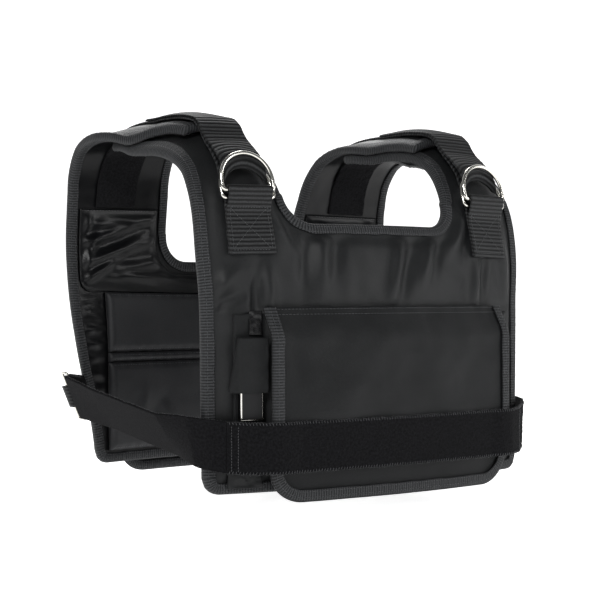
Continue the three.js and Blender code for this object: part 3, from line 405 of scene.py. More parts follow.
def woven(name, dark, light, thread, roughness, sheen, relief, slope=0.0, specular=0.5):
    """A plain or twill weave: two crossed thread waves, a soft wear pattern and colour flecks."""
    material, tree, shader, places = cloth_material(name, roughness, sheen, 0.4, specular)
    turn = {"Rotation": (0, 0, math.radians(slope))}
    turned = add(tree, "ShaderNodeMapping", {"Vector": places}, turn).outputs[0]
    weave = both_of(tree, *[threads(tree, turned, thread, 0.6, direction) for direction in "XY"])
    grain = speckle(tree, places, 0.45, 3.0)
    flecks = both_of(tree, grain, speckle(tree, places, 0.02, 2.0))
    coloured(tree, shader, flecks, (0.0, dark), (0.6, light))
    bumped(tree, shader, both_of(tree, weave, grain, "ADD"), 0.6, relief)
    return material


def laddered(name, dark, light, period, relief, direction="X"):
    """Narrow tape with a rib across it at every period, as grosgrain has. Its colour follows the rib height:
    painted highlight on the crests, painted shade in the grooves.
    """
    material, tree, shader, places = cloth_material(name, 0.6, 0.04, 0.4, 0.25)
    rib = threads(tree, places, period, 0.5, direction, **{"Detail Scale": 2.0})
    both = both_of(tree, rib, speckle(tree, places, 0.6, 3.0))
    # Painted light: the ramp makes the rib crests lighter as a painted highlight and the grooves darker as
    # painted shade.
    coloured(tree, shader, both, (0.05, dark), (0.5, light))
    bumped(tree, shader, both, 0.8, relief)
    return material


def piled(name, dark, light, relief):
    """Brushed loops: no gloss, a felted surface of tiny tufts, their tips painted lighter as a painted
    highlight and the hollows between them darker as painted shade.
    """
    material, tree, shader, places = cloth_material(name, 0.95, 0.02, 0.6, 0.05)
    tufts = speckle(tree, places, 0.9, 4.0, Roughness=0.75)
    both = both_of(tree, tufts, speckle(tree, places, 0.4, 2.0))
    # Painted light: the colour follows the tuft height, with lighter tips as painted highlight and darker
    # hollows as painted shade.
    coloured(tree, shader, both, (0.12, dark), (0.4, light))
    bumped(tree, shader, tufts, 1.0, relief)
    return material


def metal(name, colour, roughness, scratch):
    material, tree, shader = new_material(name, Metallic=1.0, Roughness=roughness)
    shader.inputs["Base Color"].default_value = linear(colour)
    marks = speckle(tree, add(tree, "ShaderNodeTexCoord").outputs["Object"], 900.0, 3.0)
    bumped(tree, shader, marks, scratch, 0.1)
    return material


# %% [markdown]
# Colours are given as seen on a screen and turned to light by linear(). All the cloths are near
# black, so gloss and sheen tell them apart more than colour does.

# %% Finishes
NYLON = woven("coated packcloth nylon", "#101112", "#202122", 0.8, 0.46, 0.02, 0.12, specular=0.26)
# The grosgrain's lighter colour is a painted highlight on its rib crests, and its dark colour is painted
# shade in the grooves.
TAPE = laddered("folded grosgrain tape", "#121314", "#3a3b3d", 2.9, 0.5)
SATIN = woven("calendered nylon lining", "#050506", "#0d0e10", 0.4, 0.34, 0.0, 0.03, specular=0.25)
PADCLOTH = woven("nylon over foam", "#17181a", "#29292b", 0.8, 0.5, 0.03, 0.12, specular=0.3)
TWILL = woven("polyester twill", "#0f1011", "#1e1f20", 1.4, 0.6, 0.03, 0.25, slope=45, specular=0.2)
# The webbing's lighter colour is a painted highlight on its rib crests, and its dark colour is painted shade
# in the grooves.
WEBBING = laddered("polypropylene webbing", "#030304", "#303132", 4.2, 0.3, "Y")
# The loop's lighter colour is a painted highlight on the tuft tips.
LOOP = piled("brushed nylon loop", "#080809", "#1c1c1e", 0.5)
THREAD = woven("bonded nylon thread", "#26272a", "#4a4b4e", 0.3, 0.5, 0.2, 0.05)
FRAY = woven("teased fibre ends", "#3a3a3c", "#6a6a6c", 0.3, 0.8, 0.3, 0.05)
GLOSS = woven("urethane coated tape", "#050506", "#0e0e10", 0.5, 0.25, 0.0, 0.05, specular=0.4)
NICKEL = metal("nickel plated steel wire", "#d8d6cf", 0.16, 0.15)
BARE = metal("cast iron weight", "#2e2e2f", 0.45, 0.6)
print("materials", len(bpy.data.materials))


# %% [markdown]
# ## Making pieces
# One function makes every piece from points and faces. A sheet of cloth is two faces joined round
# their rim, and its map is the flat cloth in millimetres, so a weave keeps its size.


# %% Mesh tools
def piece(name, points, faces, material, nodes=(), places=None):
    mesh = bpy.data.meshes.new(name)
    mesh.from_pydata((np.asarray(points) * MM).tolist(), [], [list(map(int, face)) for face in faces])
    mesh.validate()
    solid = bmesh.new()
    solid.from_mesh(mesh)
    bmesh.ops.recalc_face_normals(solid, faces=solid.faces)
    solid.to_mesh(mesh)
    solid.free()
    mesh.polygons.foreach_set("use_smooth", [True] * len(mesh.polygons))
    layer = mesh.uv_layers.new(name="cloth")
    corner = np.empty(len(mesh.loops), int)
    mesh.loops.foreach_get("vertex_index", corner)
    flat = np.asarray(points)[:, [0, 2]] if places is None else places
    layer.data.foreach_set("uv", np.asarray(flat, float)[corner].ravel())
    mesh.materials.append(material)
    made = bpy.data.objects.new(name, mesh)
    bpy.context.scene.collection.objects.link(made)
    if nodes:
        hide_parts(*nodes)
    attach(made, "root")
    print(name, len(mesh.polygons))
    return made


def grid_faces(rows, cols, start=0):
    number = start + np.arange(rows * cols).reshape(rows, cols)
    quads = [number[:-1, :-1], number[:-1, 1:], number[1:, 1:], number[1:, :-1]]
    return np.stack([q.ravel() for q in quads], 1)


def closed_sheet(outer, inner, faces):
    """Joins an outer and an inner face of the same quads round their open edge."""
    count = len(outer)
    faces = np.asarray(faces)
    edges = np.concatenate([faces[:, [k, (k + 1) % 4]] for k in range(4)])
    keys = edges[:, 0] * (count + 1) + edges[:, 1]
    back = edges[:, 1] * (count + 1) + edges[:, 0]
    rim = edges[~np.isin(keys, back)]
    walls = np.stack([rim[:, 1], rim[:, 0], rim[:, 0] + count, rim[:, 1] + count], 1)
    return np.vstack([outer, inner]), np.vstack([faces, faces[:, ::-1] + count, walls])


def cloth_piece(name, outer, inner, faces, across, down, material, node, slot):
    """A sheet of two faces, with its place on the flat cloth in millimetres."""
    points, quads = closed_sheet(outer, inner, faces)
    flat = np.tile(np.stack([across, down], 1), (2, 1))
    return piece(name, points, quads, material, [node], flat)


def sheet_piece(name, rows, cols, sides, material, node, slot, across=1, down=-1):
    """A sheet over a fine grid; sides are two functions that turn rows and columns to points."""
    row, col = crossed(rows, cols)
    outer, inner = [side_at(row, col) for side_at in sides]
    faces = grid_faces(len(rows), len(cols))
    return cloth_piece(name, outer, inner, faces, across * col, down * row, material, node, slot)


def tube_loops(sections, closed=True):
    """Faces between rings of points; sections is an array of rings."""
    count, size = sections.shape[:2]
    faces = []
    for i in range(count if closed else count - 1):
        j = (i + 1) % count
        for k in range(size):
            m = (k + 1) % size
            faces.append([i * size + k, i * size + m, j * size + m, j * size + k])
    if not closed:
        faces.append(list(range(size))[::-1])
        faces.append([(count - 1) * size + k for k in range(size)])
    return faces


STITCH_SIDES = 5
STITCH_FACES = tube_loops(np.empty((3, STITCH_SIDES, 3)), closed=False)


def stitches(name, lines, material=THREAD, length=2.6, gap=1.3, radius=0.32, slot="tape"):
    """Sewn thread: each line is an array of points and each stitch a short sunk bar of thread."""
    points, faces = [], []
    for line in lines:
        total = lengths_along(line)
        for number in range(int(total[-1] / (length + gap))):
            start = number * (length + gap)
            bar = placed_at([start, start + length * 0.5, start + length], total, line)
            ahead = unit(bar[2] - bar[0])
            first = unit(np.cross(ahead, [0.3, 0.2, 0.93]))
            second = np.cross(ahead, first)
            faces += [[len(points) + corner for corner in face] for face in STITCH_FACES]
            for spot, size in zip(bar, (0.5, 1.0, 0.5)):
                for turn in range(STITCH_SIDES):
                    angle = 2 * math.pi * turn / STITCH_SIDES
                    points.append(spot + radius * size * (first * math.cos(angle) + second * math.sin(angle)))
    return piece(name, np.array(points), faces, material)


# %% [markdown]
# ## Padded panels
# Each panel is shell cloth over foam with a sewn edge, thin at the tape and full inside it.
# Its outline is drawn on the flat cloth and every row of it is bent round the side curve.


# %% Panels
def neck_curve(x, low, half):
    past = np.maximum(np.abs(x) - (half - NECK_CORNER), 0)
    return low + NECK_CORNER - np.sqrt(np.maximum(NECK_CORNER**2 - past**2, 0))


def panel_grid(place, edge, neck_low, neck_half, leg_end, neck_edge, step=3.2):
    """Rows and columns over a panel with two legs: places on the cloth, quads and the outline."""
    corner = NECK_CORNER * (1 - math.sqrt(0.5))
    split, split_x = neck_low + corner, neck_half - corner
    shares = np.linspace(0, 1, int(split / step) + 1)
    part = np.linspace(0, 1, int(LEG_WIDTH / step) + 1)
    middle = np.linspace(-1, 1, int(2 * split_x / step) + 1)[1:-1]

    def hem(x, half):
        past = np.maximum(np.abs(x) - (half - HEM_CORNER), 0)
        return HEM_CORNER - np.sqrt(np.maximum(HEM_CORNER**2 - past**2, 0))

    across, levels = [], []
    for share in shares:
        outside = edge(place(share * split))
        leg = mix(split_x, outside, part)
        x = np.concatenate([-leg[::-1], middle * split_x, leg])
        level = np.full(len(leg), split)
        top = np.concatenate([level, neck_curve(middle * split_x, neck_low, neck_half), level])
        start = hem(x, outside)
        across.append(x)
        levels.append(start + share * (top - start))
    wide = len(across[0])
    points_x, points_l = np.concatenate(across), np.concatenate(levels)
    faces = [grid_faces(len(shares), wide)]
    rows = np.linspace(split, leg_end, int((leg_end - split) / step) + 1)[1:]
    last = (len(shares) - 1) * wide
    sides = {}
    for hand in (-1, 1):
        first = last if hand < 0 else last + wide - len(part)
        below = np.arange(first, first + len(part))
        inner_edge, outer_edge = [], []
        for length in rows:
            rise = neck_low + NECK_CORNER - length
            arc = neck_half - NECK_CORNER + math.sqrt(max(NECK_CORNER**2 - max(rise, 0) ** 2, 0))
            inside = arc if rise > 0 else float(neck_edge(place(length)))
            x = mix(inside, edge(place(length)), part)
            x = -x[::-1] if hand < 0 else x
            above = len(points_x) + np.arange(len(part))
            points_x = np.concatenate([points_x, x])
            points_l = np.concatenate([points_l, np.full(len(part), length)])
            faces.append(np.stack([below[:-1], below[1:], above[1:], above[:-1]], 1))
            below = above
            inner_edge.append(above[-1] if hand < 0 else above[0])
            outer_edge.append(above[0] if hand < 0 else above[-1])
        sides[hand] = (inner_edge, outer_edge, list(below))
    body = np.arange(len(shares) * wide).reshape(len(shares), wide)
    count = len(part)
    loop = list(body[0]) + list(body[1:, -1]) + sides[1][1][:-1] + sides[1][2][::-1]
    loop += sides[1][0][:-1][::-1] + list(body[-1][count - 1 : wide - count + 1][::-1])
    loop += sides[-1][0][:-1] + sides[-1][2][::-1] + sides[-1][1][:-1][::-1] + list(body[1:, 0][::-1])
    return points_x, place(points_l), np.vstack(faces), np.array(loop)


# %% [markdown]
# The foam's thickness rises from the sewn edge, and each leg thins where it lies under a yoke.
# Thickness and height change in straight steps between stations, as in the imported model.


# %% Layers and stations
def layered(name, cloth, layer_at, thick_at, relief, under, node):
    x, along, faces, loop = cloth
    away = edge_distance(x, along, x[loop], along[loop])
    full = thick_at(along)
    rise = smooth(away, TAPE_WIDTH, TAPE_WIDTH + 14)
    thick = np.minimum(full, mix(EDGE_THICK, full, rise))
    inside = smooth(away, TAPE_WIDTH - 1, TAPE_WIDTH + 10)
    z = station(along)["z"]
    outer = shell(x, along, layer_at(along) + thick + inside * relief(x, along, z, away))
    inner = shell(x, along, layer_at(along) + inside * under(x, along, z))
    return cloth_piece(name, outer, inner, faces, x, along, NYLON, node, "nylon")


def straightened(value_at):
    """The same values, but in straight lines between stations."""

    def value(along):
        below = np.floor(np.asarray(along) / STATION + 1e-6) * STATION
        return mix(value_at(below), value_at(below + STATION), (along - below) / STATION)

    return value


def at_station(along):
    return round(along / STATION) * STATION


front_leg_end = at_station(CREST + TONGUE_PAST_CREST)
yoke_front = at_station(CREST - YOKE_BEFORE_CREST)
front_neck = along_at(FRONT_NECK_DEPTH)
back_neck = SIDE_LENGTH - along_at(BACK_NECK_DEPTH, True)
yoke_layer = TONGUE_THICK + 2 * (TAPE_CLEAR + TAPE_THICK + SOFT_CLEAR)


def front_thick_value(along):
    share = smooth(along, yoke_front - 4 * STATION, yoke_front - 2 * STATION)
    return mix(PANEL_THICK, TONGUE_THICK, share)


front_thick = straightened(front_thick_value)
print("legs end at", front_leg_end, "yoke starts at", yoke_front, "neck", round(front_neck))

# %% [markdown]
# The front hangs from the shoulders, so its cloth falls in soft upright dents under the neckline,
# with a crease where the flap's seam pulls and a sewn line across each leg at the rings.
# Displacing a fine grid gives folds that hold up from every side, unlike a bump map.

# %% Front panel
FRONT_FOLDS = [
    # x, z, lean, half length, half width, height
    (-74, -132, 8, 32, 9, 2.6),
    (-92, -136, 12, 30, 8, -2.2),
    (-54, -126, 14, 26, 9, -2.0),
    (18, -145, 22, 34, 8, 2.8),
    (34, -142, 24, 30, 8, -2.4),
    (62, -134, 30, 26, 8, 2.6),
    (78, -128, 30, 24, 8, -2.0),
    (132, -156, 14, 24, 7, 2.6),
    (146, -150, 14, 26, 6, -2.2),
    (-190, -158, 62, 22, 8, 3.0),
    (-184, -174, 70, 24, 6, -2.6),
    (-150, -172, 6, 24, 5, -3.4),
    (-138, -168, 4, 24, 8, 2.6),
    (-120, -106, -38, 16, 6, 1.6),
    (-106, -112, -30, 16, 5, -1.4),
    (112, -108, 36, 18, 6, 1.8),
    (124, -114, 30, 18, 5, -1.6),
    (180, -128, -10, 26, 8, 2.0),
    (192, -190, 2, 60, 6, 1.6),
    (-170, -236, 20, 34, 9, 2.0),
]


def drawn_in(x, along, away, seed):
    """The small puckers that the tape's stitches draw in the cloth beside it."""
    wave = np.sin(along / 2.1 + 1.5 * noise(x / 9, along / 9, seed))
    return 0.35 * wave * np.exp(-(((away - TAPE_WIDTH) / 5) ** 2))


def front_relief(x, along, z, away):
    soft = fractal(x / 46, z / 70, 1) * 0.8 + fractal(x / 17, z / 26, 4, 2) * 0.3
    low = smooth(z, -200, -176)
    seam = -1.5 * np.exp(-(((z + FLAP_TOP) / 1.5) ** 2))
    leg_seam = -0.7 * np.exp(-(((z + LEG_SEAM) / 1.4) ** 2)) * (np.abs(x) > 110)
    drawn = drawn_in(x, along, away, 8) + seam + leg_seam
    return 2.1 * folds(x, z, FRONT_FOLDS) * mix(0.5, 1, low) + 1.6 * soft + drawn


def own_place(length):
    return length


def back_place(length):
    return SIDE_LENGTH - length


def edge_at(half, share, inset=0):
    """An edge's distance from the middle, as a function of the place along the side curve."""
    return lambda along: half * station(along)[share] + inset


def nothing(place, *rest):
    """No height and no relief, for the panel that lies on the body."""
    return 0 * place


front_edge = edge_at(FRONT_HALF_WIDTH, "front")
back_edge = edge_at(BACK_HALF_WIDTH, "back")
neck_edge = edge_at(NECK_HALF_WIDTH, "neck")
front_cloth = panel_grid(own_place, front_edge, front_neck, NECK_HALF_WIDTH, front_leg_end, neck_edge)
front_layers = (nothing, front_thick, front_relief, nothing)
front_shell = layered("front_shell", front_cloth, *front_layers, "front_panel")

# %% [markdown]
# The back's yokes lie over the front's tongues. Inside it is a glossy lining that was cut a
# little too long, so it gathers in slanting folds between the yoke seam and the pads.

# %% Back panel


def back_layer_value(along):
    start = front_leg_end + 1.5 * STATION
    return yoke_layer * (1 - smooth(along, start, start + 3 * STATION))


def back_thick_value(along):
    yoke = mix(EDGE_THICK, 8, smooth(along, yoke_front, yoke_front + 2 * STATION))
    return mix(yoke, PANEL_THICK, smooth(along, front_leg_end, front_leg_end + 3 * STATION))


back_layer = straightened(back_layer_value)
back_thick = straightened(back_thick_value)


def back_relief(x, along, z, away):
    soft = fractal(x / 50, z / 60, 11) * 1.0 + fractal(x / 18, along / 24, 14, 2) * 0.35
    seam = -0.8 * np.exp(-(((z + LINING_TOP) / 1.6) ** 2)) * (along > CREST)
    return soft + drawn_in(x, along, away, 3) + seam


def back_inside(x, along, z):
    soft = 0.5 * fractal(x / 20, along / 26, 21) * smooth(-z, 5, 30)
    beside = np.exp(-(((np.abs(x) - 198) / 15) ** 2)) * smooth(-z, 160, 180) * (along > CREST)
    ruffle = np.sin(z / 2.6 + 2 * noise(z / 20, x / 30, 23)) + noise(x / 9, z / 7, 24)
    return soft - 1.6 * beside * (1 + ruffle)


back_half = NECK_HALF_WIDTH * float(station(np.array(back_place(back_neck)))["neck"])
yoke_end = SIDE_LENGTH - yoke_front
x, along, faces, loop = panel_grid(back_place, back_edge, back_neck, back_half, yoke_end, neck_edge)
back_cloth = (x, along, faces[:, ::-1], loop[::-1])
back_layers = (back_layer, back_thick, back_relief, back_inside)
back_shell = layered("back_shell", back_cloth, *back_layers, "back_panel")
back_shell.data.materials.append(SATIN)
count = len(faces)
finish_of_face = np.zeros(len(back_shell.data.polygons), int)
finish_of_face[count : 2 * count] = 1
back_shell.data.polygons.foreach_set("material_index", finish_of_face)

# %% [markdown]
# ## Binding
# Every raw edge is closed with a 9 mm tape, folded over the edge and sewn down with two rows of
# stitches. The thread draws the tape in, so it shows small even puckers between the stitches.


# %% Binding tape
def binding(name, line_x, line_along, face_at, node, seed, closed=True, width=TAPE_WIDTH, near=TAPE_CLEAR):
    """Tape folded over an edge line, drawn in by its two rows of stitches on each face."""
    far = near + TAPE_THICK
    spots = np.stack([line_x, line_along], 1)
    spots = np.vstack([spots, spots[:1]]) if closed else spots
    total = lengths_along(spots)
    at = np.linspace(0, total[-1], int(total[-1] / 1.7), endpoint=not closed)
    fine = placed_at(at, total, spots)
    longer = np.pad(fine, ((2, 2), (0, 0)), mode="wrap" if closed else "edge")
    ahead = unit(longer[4:] - longer[:-4])
    into = np.stack([-ahead[:, 1], ahead[:, 0]], 1)
    wave = 0.22 * np.sin(at / 3.9 * math.pi + noise(at / 15, 0 * at, seed))
    wave = wave + 0.25 * noise(at / 7, 0 * at, seed + 1)
    side_wave = 0.5 * noise(at / 12, 0 * at + 3, seed + 2)

    def beside(reach, face, above):
        x, along = (fine + into * np.reshape(reach, (-1, 1))).T
        return shell(x, along, face_at(x, along, face) + above * (1 if face else -1))

    # Each point of the section: how far in from the edge, which face, how high, and if it puckers
    section = [
        (width, 1, near + 0.15, 0), (width - 0.25, 1, far - 0.1, 0), (width - 1.6, 1, far - 0.25, 0),
        (width - 3.2, 1, far + 0.15, 1), (width * 0.4, 1, far + 0.1, 1), (1.7, 1, far - 0.2, 0),
        (0.3, 1, far + 0.05, 1), (-far * 0.7, 1, far * 0.35, 0), (-far, 1, -1.8, 0),
        (-far, 0, -1.8, 0), (-far * 0.7, 0, far * 0.35, 0), (0.3, 0, far + 0.05, 1),
        (width * 0.5, 0, far + 0.1, 1), (width - 0.25, 0, far - 0.1, 0), (width, 0, near + 0.15, 0),
        (width, 0, near, 0), (-near, 0, near, 0), (-near, 1, near, 0), (width, 1, near, 0),
    ]
    rings = []
    for reach, face, above, waves in section:
        reach = reach + (side_wave if reach > width - 2 else 0)
        rings.append(beside(reach, face, above + waves * wave))
    sections = np.stack(rings, axis=1)
    faces = [face[::-1] for face in tube_loops(sections, closed)]
    cloth = np.stack(crossed(at, np.arange(len(section)) * 1.3), 1)
    made = piece(name, sections.reshape(-1, 3), faces, TAPE, [node], cloth)
    rows = []
    for reach, face in ((1.7, 0), (1.7, 1), (width - 1.6, 0), (width - 1.6, 1)):
        line = beside(reach, face, far - 0.05)
        rows.append(np.vstack([line, line[:1]]) if closed else line)
    stitches(name + "_thread", rows, length=2.5, gap=1.5, radius=0.3)
    return made


def front_face(x, along, face):
    return np.minimum(EDGE_THICK, front_thick(along)) if face else 0 * along


def back_face(x, along, face):
    return back_layer(along) + (np.minimum(EDGE_THICK, back_thick(along)) if face else 0)


for name, (x, along, _, loop), face_at, seed in (
    ("front", front_cloth, front_face, 5),
    ("back", back_cloth, back_face, 4),
):
    binding(name + "_edge_tape", x[loop], along[loop], face_at, name + "_binding", seed)

# %% [markdown]
# ## Inside the back
# The lining is a thin satin that crumples into sharp-edged folds, the pads are flat foam under
# nylon with a rolled seam between them, and soft hook-and-loop patches line the yokes.

# %% Lining
LINING_FOLDS = [
    (-160, -86, 84, 70, 7, 3.6),
    (-178, -102, 72, 50, 5, 4.6),
    (-140, -114, 76, 60, 6, 4.4),
    (-172, -122, 66, 56, 5, 4.8),
    (-196, -118, 30, 26, 6, 3.6),
    (-120, -134, 84, 70, 6, 4.0),
    (-110, -148, 88, 90, 5, 3.6),
    (-184, -142, 58, 36, 5, 4.6),
    (-200, -90, 20, 30, 6, 3.0),
]
inset = TAPE_WIDTH + 3
lining_foot = SIDE_LENGTH - along_at(PAD_TOP - CLEAR, True)


def lining_place(length):
    return SIDE_LENGTH - lining_foot - length


lining_edge = edge_at(BACK_HALF_WIDTH, "back", -inset)
lining_neck = edge_at(NECK_HALF_WIDTH, "neck", inset)
lining_end = SIDE_LENGTH - lining_foot - along_at(LINING_TOP, True)
lining_half = back_half + inset
lining_low = back_neck - lining_foot - inset
lining_sizes = (lining_place, lining_edge, lining_low, lining_half, lining_end, lining_neck)
x, along, faces, loop = panel_grid(*lining_sizes, step=2.2)
z = station(along)["z"]
mirrored = [(-a, b, -c, d, e, f) for a, b, c, d, e, f in LINING_FOLDS]
edge_gap = edge_distance(x, along, x[loop], along[loop])
crumple = 2.4 * creased(x / 90 + z / 60, z / 22 + x / 120, 31) + 0.5 * creased(x / 60, z / 11, 37)
depth = (folds(x, z, LINING_FOLDS + mirrored) + crumple) * smooth(edge_gap, 0, 12)
near_face = back_layer(along) - SOFT_CLEAR
lining_faces = (shell(x, along, near_face), shell(x, along, near_face - 1.2 - depth), faces[:, ::-1])
lining = cloth_piece("lining_satin", *lining_faces, x, along, SATIN, "back_lining", "satin")
for hand in (-1, 1):
    seam_along = np.full(60, along_at(LINING_TOP + 1.5, True))
    seam = shell(hand * np.linspace(118, 205, 60), seam_along, back_layer(seam_along) - SOFT_CLEAR - 1.5)
    stitches(f"lining_seam_{'left' if hand < 0 else 'right'}", [seam], slot="satin")


# %% Back pads
PAD_DENTS = [
    (-110, -300, 30, 22, 10, -3.0),
    (-96, -308, -25, 18, 7, 2.4),
    (-128, -292, 10, 20, 6, 2.0),
    (80, -300, 20, 26, 10, -2.0),
]


def back_pad(name, top, foot, thick, crown, node, seed):
    high, low = along_at(top, True), along_at(foot, True)
    long, half = low - high, PAD_HALF_WIDTH

    def inner(row, col):
        from_end = np.minimum(row, 1 - row) * long
        from_side = (1 - np.abs(col)) * half
        rim = np.sqrt(np.clip(np.minimum(from_end, from_side) / 7, 0, 1))
        drawn = 0.5 * np.sin(col * half / 2.2) * np.exp(-((from_end - 3) / 3) ** 2)
        soft = 0.8 * fractal(col * half / 50, row * long / 40, seed) + crown * (1 - (2 * row - 1) ** 2)
        fall = folds(col * half, -mix(top, foot, row), PAD_DENTS)
        depth = thick * (0.3 + 0.7 * rim) + rim * (soft + fall) + drawn
        return shell(col * half, mix(high, low, row), -CLEAR - SOFT_CLEAR - np.maximum(depth, 1))

    def outer(row, col):
        return shell(col * half, mix(high, low, row), -CLEAR - SOFT_CLEAR)

    rows = np.linspace(0, 1, int(long / 2.4) + 4)
    cols = np.linspace(-1, 1, 150)
    made = sheet_piece(name, rows, cols, (outer, inner), PADCLOTH, node, "nylon", half, long)
    ends = []
    for row in (3 / long, 1 - 3 / long):
        col = np.linspace(-0.97, 0.97, 160)
        ends.append(inner(np.full(160, row), col))
    stitches(name + "_thread", ends, slot="nylon")
    return made


roll_half = PAD_THICK * 0.6
roll_top, roll_foot = PAD_SPLIT - roll_half, PAD_SPLIT + roll_half
pad_thick = PAD_THICK - 1.2
pad_foot = VEST_HEIGHT - inset
back_pad("pad_upper_foam", PAD_TOP, roll_top - CLEAR, pad_thick, 0.6, "back_pad_upper", 41)
back_pad("pad_seam_roll", roll_top, roll_foot, PAD_THICK * 0.7, 1.6, "back_seam_roll", 43)
back_pad("pad_lower_foam", roll_foot + CLEAR, pad_foot, pad_thick, 0.8, "back_pad_lower", 45)


# %% Loop patches
def fibres(name, roots, normals, count, length, material=FRAY, seed=1):
    """Loose fibre ends: thin triangular hairs at seeded places along a line of roots."""
    draw = np.random.default_rng(seed)
    pick = draw.integers(0, len(roots), count)
    points, faces = [], []
    for number in pick:
        base = roots[number] + draw.normal(0, 0.35, 3)
        tip = base + normals[number] * length * draw.uniform(0.4, 1.0) + draw.normal(0, length * 0.35, 3)
        half = unit(np.cross(tip - base, [0.2, 0.3, 0.9])) * 0.09
        faces.append([len(points), len(points) + 1, len(points) + 2])
        points += [base - half, base + half, tip]
    return piece(name, np.array(points), faces, material)


HANDS = [("left", -1), ("right", 1)]
patch_rows = np.linspace(front_leg_end + STATION, along_at(LINING_TOP - 2, True), 40)


def patch_outer(row, col):
    return shell(col, row, back_layer(row) - SOFT_CLEAR)


def patch_inner(row, col):
    pile = 0.5 * noise(row / 1.6, col / 1.6, 51) + 0.3 * noise(row / 6, col / 6, 52)
    return shell(col, row, back_layer(row) - SOFT_CLEAR - (1.9 + pile))


for name, hand in HANDS:
    cols = np.linspace(-25, 25, 40) + hand * (STRAP_LINE + 8)
    patch_look = ((patch_outer, patch_inner), LOOP, f"loop_patch_{name}", "loop")
    tape = sheet_piece(f"loop_tape_{name}", patch_rows, cols, *patch_look, down=1)
print("inside done")

# %% [markdown]
# ## Webbing and rings
# Each shoulder strap is 50 mm ribbed webbing. It is sewn to the yoke, passes under both rings,
# turns round the arc of the lower one and comes back over itself under the arc of the upper one.
# The rings are bent from steel wire, welded and nickel plated.


# %% Webbing path
STRAP_BACK_END = 128
STRAP_FREE_END = 30
RIB = 4.2


def along_after(start, out, length):
    reach = start + np.arange(0, 60, 0.05)
    spots = shell(STRAP_LINE, reach, out)
    return float(reach[np.argmax(np.linalg.norm(spots - spots[0], axis=1) >= length)])


ring_out = PANEL_THICK + WEBBING_THICK + 6 * CLEAR + RING_WIRE / 2
upper_ring_out = ring_out + RING_WIRE + CLEAR
wrap = RING_WIRE / 2 + SOFT_CLEAR + WEBBING_THICK / 2
upper_bar = along_at(RING_DROP)
lower_bar = upper_bar - 6
ring_reach = RING_LEG + RING_RADIUS
lower_arc = along_after(lower_bar, ring_out, ring_reach)
upper_arc = along_after(upper_bar, upper_ring_out, ring_reach)
arc_scale = (lower_arc - lower_bar) / ring_reach
slope_along = (lower_bar + lower_arc) / 2
ring_chord = shell(STRAP_LINE, np.array([lower_bar, lower_arc]), ring_out).mean(axis=0)
ring_rise = float(np.linalg.norm(shell(STRAP_LINE, slope_along, ring_out) - ring_chord))


def slope_at(line, along):
    found = station(along)
    half = WEBBING_WIDTH / 2
    return (inward(line + half, found) - inward(line - half, found)) / WEBBING_WIDTH


def yoke_top(along):
    taped = EDGE_THICK + TAPE_CLEAR + TAPE_THICK
    return back_layer(along) + np.maximum(back_thick(along), taped) + SOFT_CLEAR


def standing_out(along):
    edge = yoke_front - 4
    slide = mix(PANEL_THICK + CLEAR, yoke_top(edge), smooth(along, edge - 26, edge))
    return np.where(along >= edge, yoke_top(along), slide) + WEBBING_THICK / 2


def strap_rows():
    """Rows of the strap: along, out, how far it follows the arch, and how far the fold bends it."""
    sewn, edge = at_station(CREST + STRAP_BACK_END), yoke_front - 4
    levels = np.arange(int(sewn / STATION), int(edge / STATION), -1) * STATION
    stand = [sewn, *levels[levels < sewn - 7], edge, edge - 9, edge - 18, edge - 27]
    stand = [float(a) for a in stand if a > lower_arc + 3]

    def soft(a):
        return float(smooth(a, yoke_front - STATION, yoke_front + 2 * STATION))

    rows = [(a, float(standing_out(a)), soft(a), 0, 0) for a in stand]
    for angle in HALF_TURN:
        rows.append((lower_arc - wrap * math.sin(angle), ring_out - wrap * math.cos(angle), 0, 1, 1))
    rows.append((upper_arc - 1, ring_out + wrap, 0, 0.9, 1))
    free_end = CREST + STRAP_FREE_END
    for a in [a for a in stand[::-1] if upper_arc < a < free_end] + [free_end]:
        laid = float(standing_out(a)) + WEBBING_THICK + CLEAR
        ease = 1 - float(smooth(a, upper_arc, upper_arc + 1.2 * STATION))
        rows.append((a, max(laid, mix(laid, ring_out + wrap, ease)), soft(a), 0, 0))
    return np.array(rows, float)


def tab_rows():
    foot = along_at(TAB_FOOT)
    low = PANEL_THICK + CLEAR + WEBBING_THICK / 2
    laid = low + WEBBING_THICK + CLEAR
    rows = [(foot, low, 0.5, 0, 0), ((foot + lower_bar) / 2, low, 0.25, 0, 0)]
    rows += [(lower_bar - RING_WIRE, ring_out - wrap, 0, 0, 1), (lower_bar, ring_out - wrap, 0, 0, 1)]
    for angle in HALF_TURN:
        out = mix(ring_out - wrap, upper_ring_out + wrap, (1 - math.cos(angle)) / 2)
        rows.append((upper_bar + wrap * math.sin(angle), out, 0, 0, 1))
    rows.append((lower_bar - RING_WIRE / 2, ring_out + wrap, 0, 0, 1))
    rows.append((lower_bar - RING_WIRE * 2, mix(laid, ring_out + wrap, 0.4), 0, 0, 1))
    rows.append((lower_bar - RING_WIRE * 3.6, laid, 0.1, 0, 0))
    rows += [((foot + lower_bar) / 2, laid, 0.25, 0, 0), (foot, laid, 0.5, 0, 0)]
    return np.array(rows, float)


print("strap from", at_station(CREST + STRAP_BACK_END), "to the ring arcs at", round(lower_arc))

# %% [markdown]
# The same code weaves the straps and the ring tabs. A row of ribs every 4.2 mm stands out of a
# fine grid, and where the strap folds over a ring's arc its ribs follow the round wire.


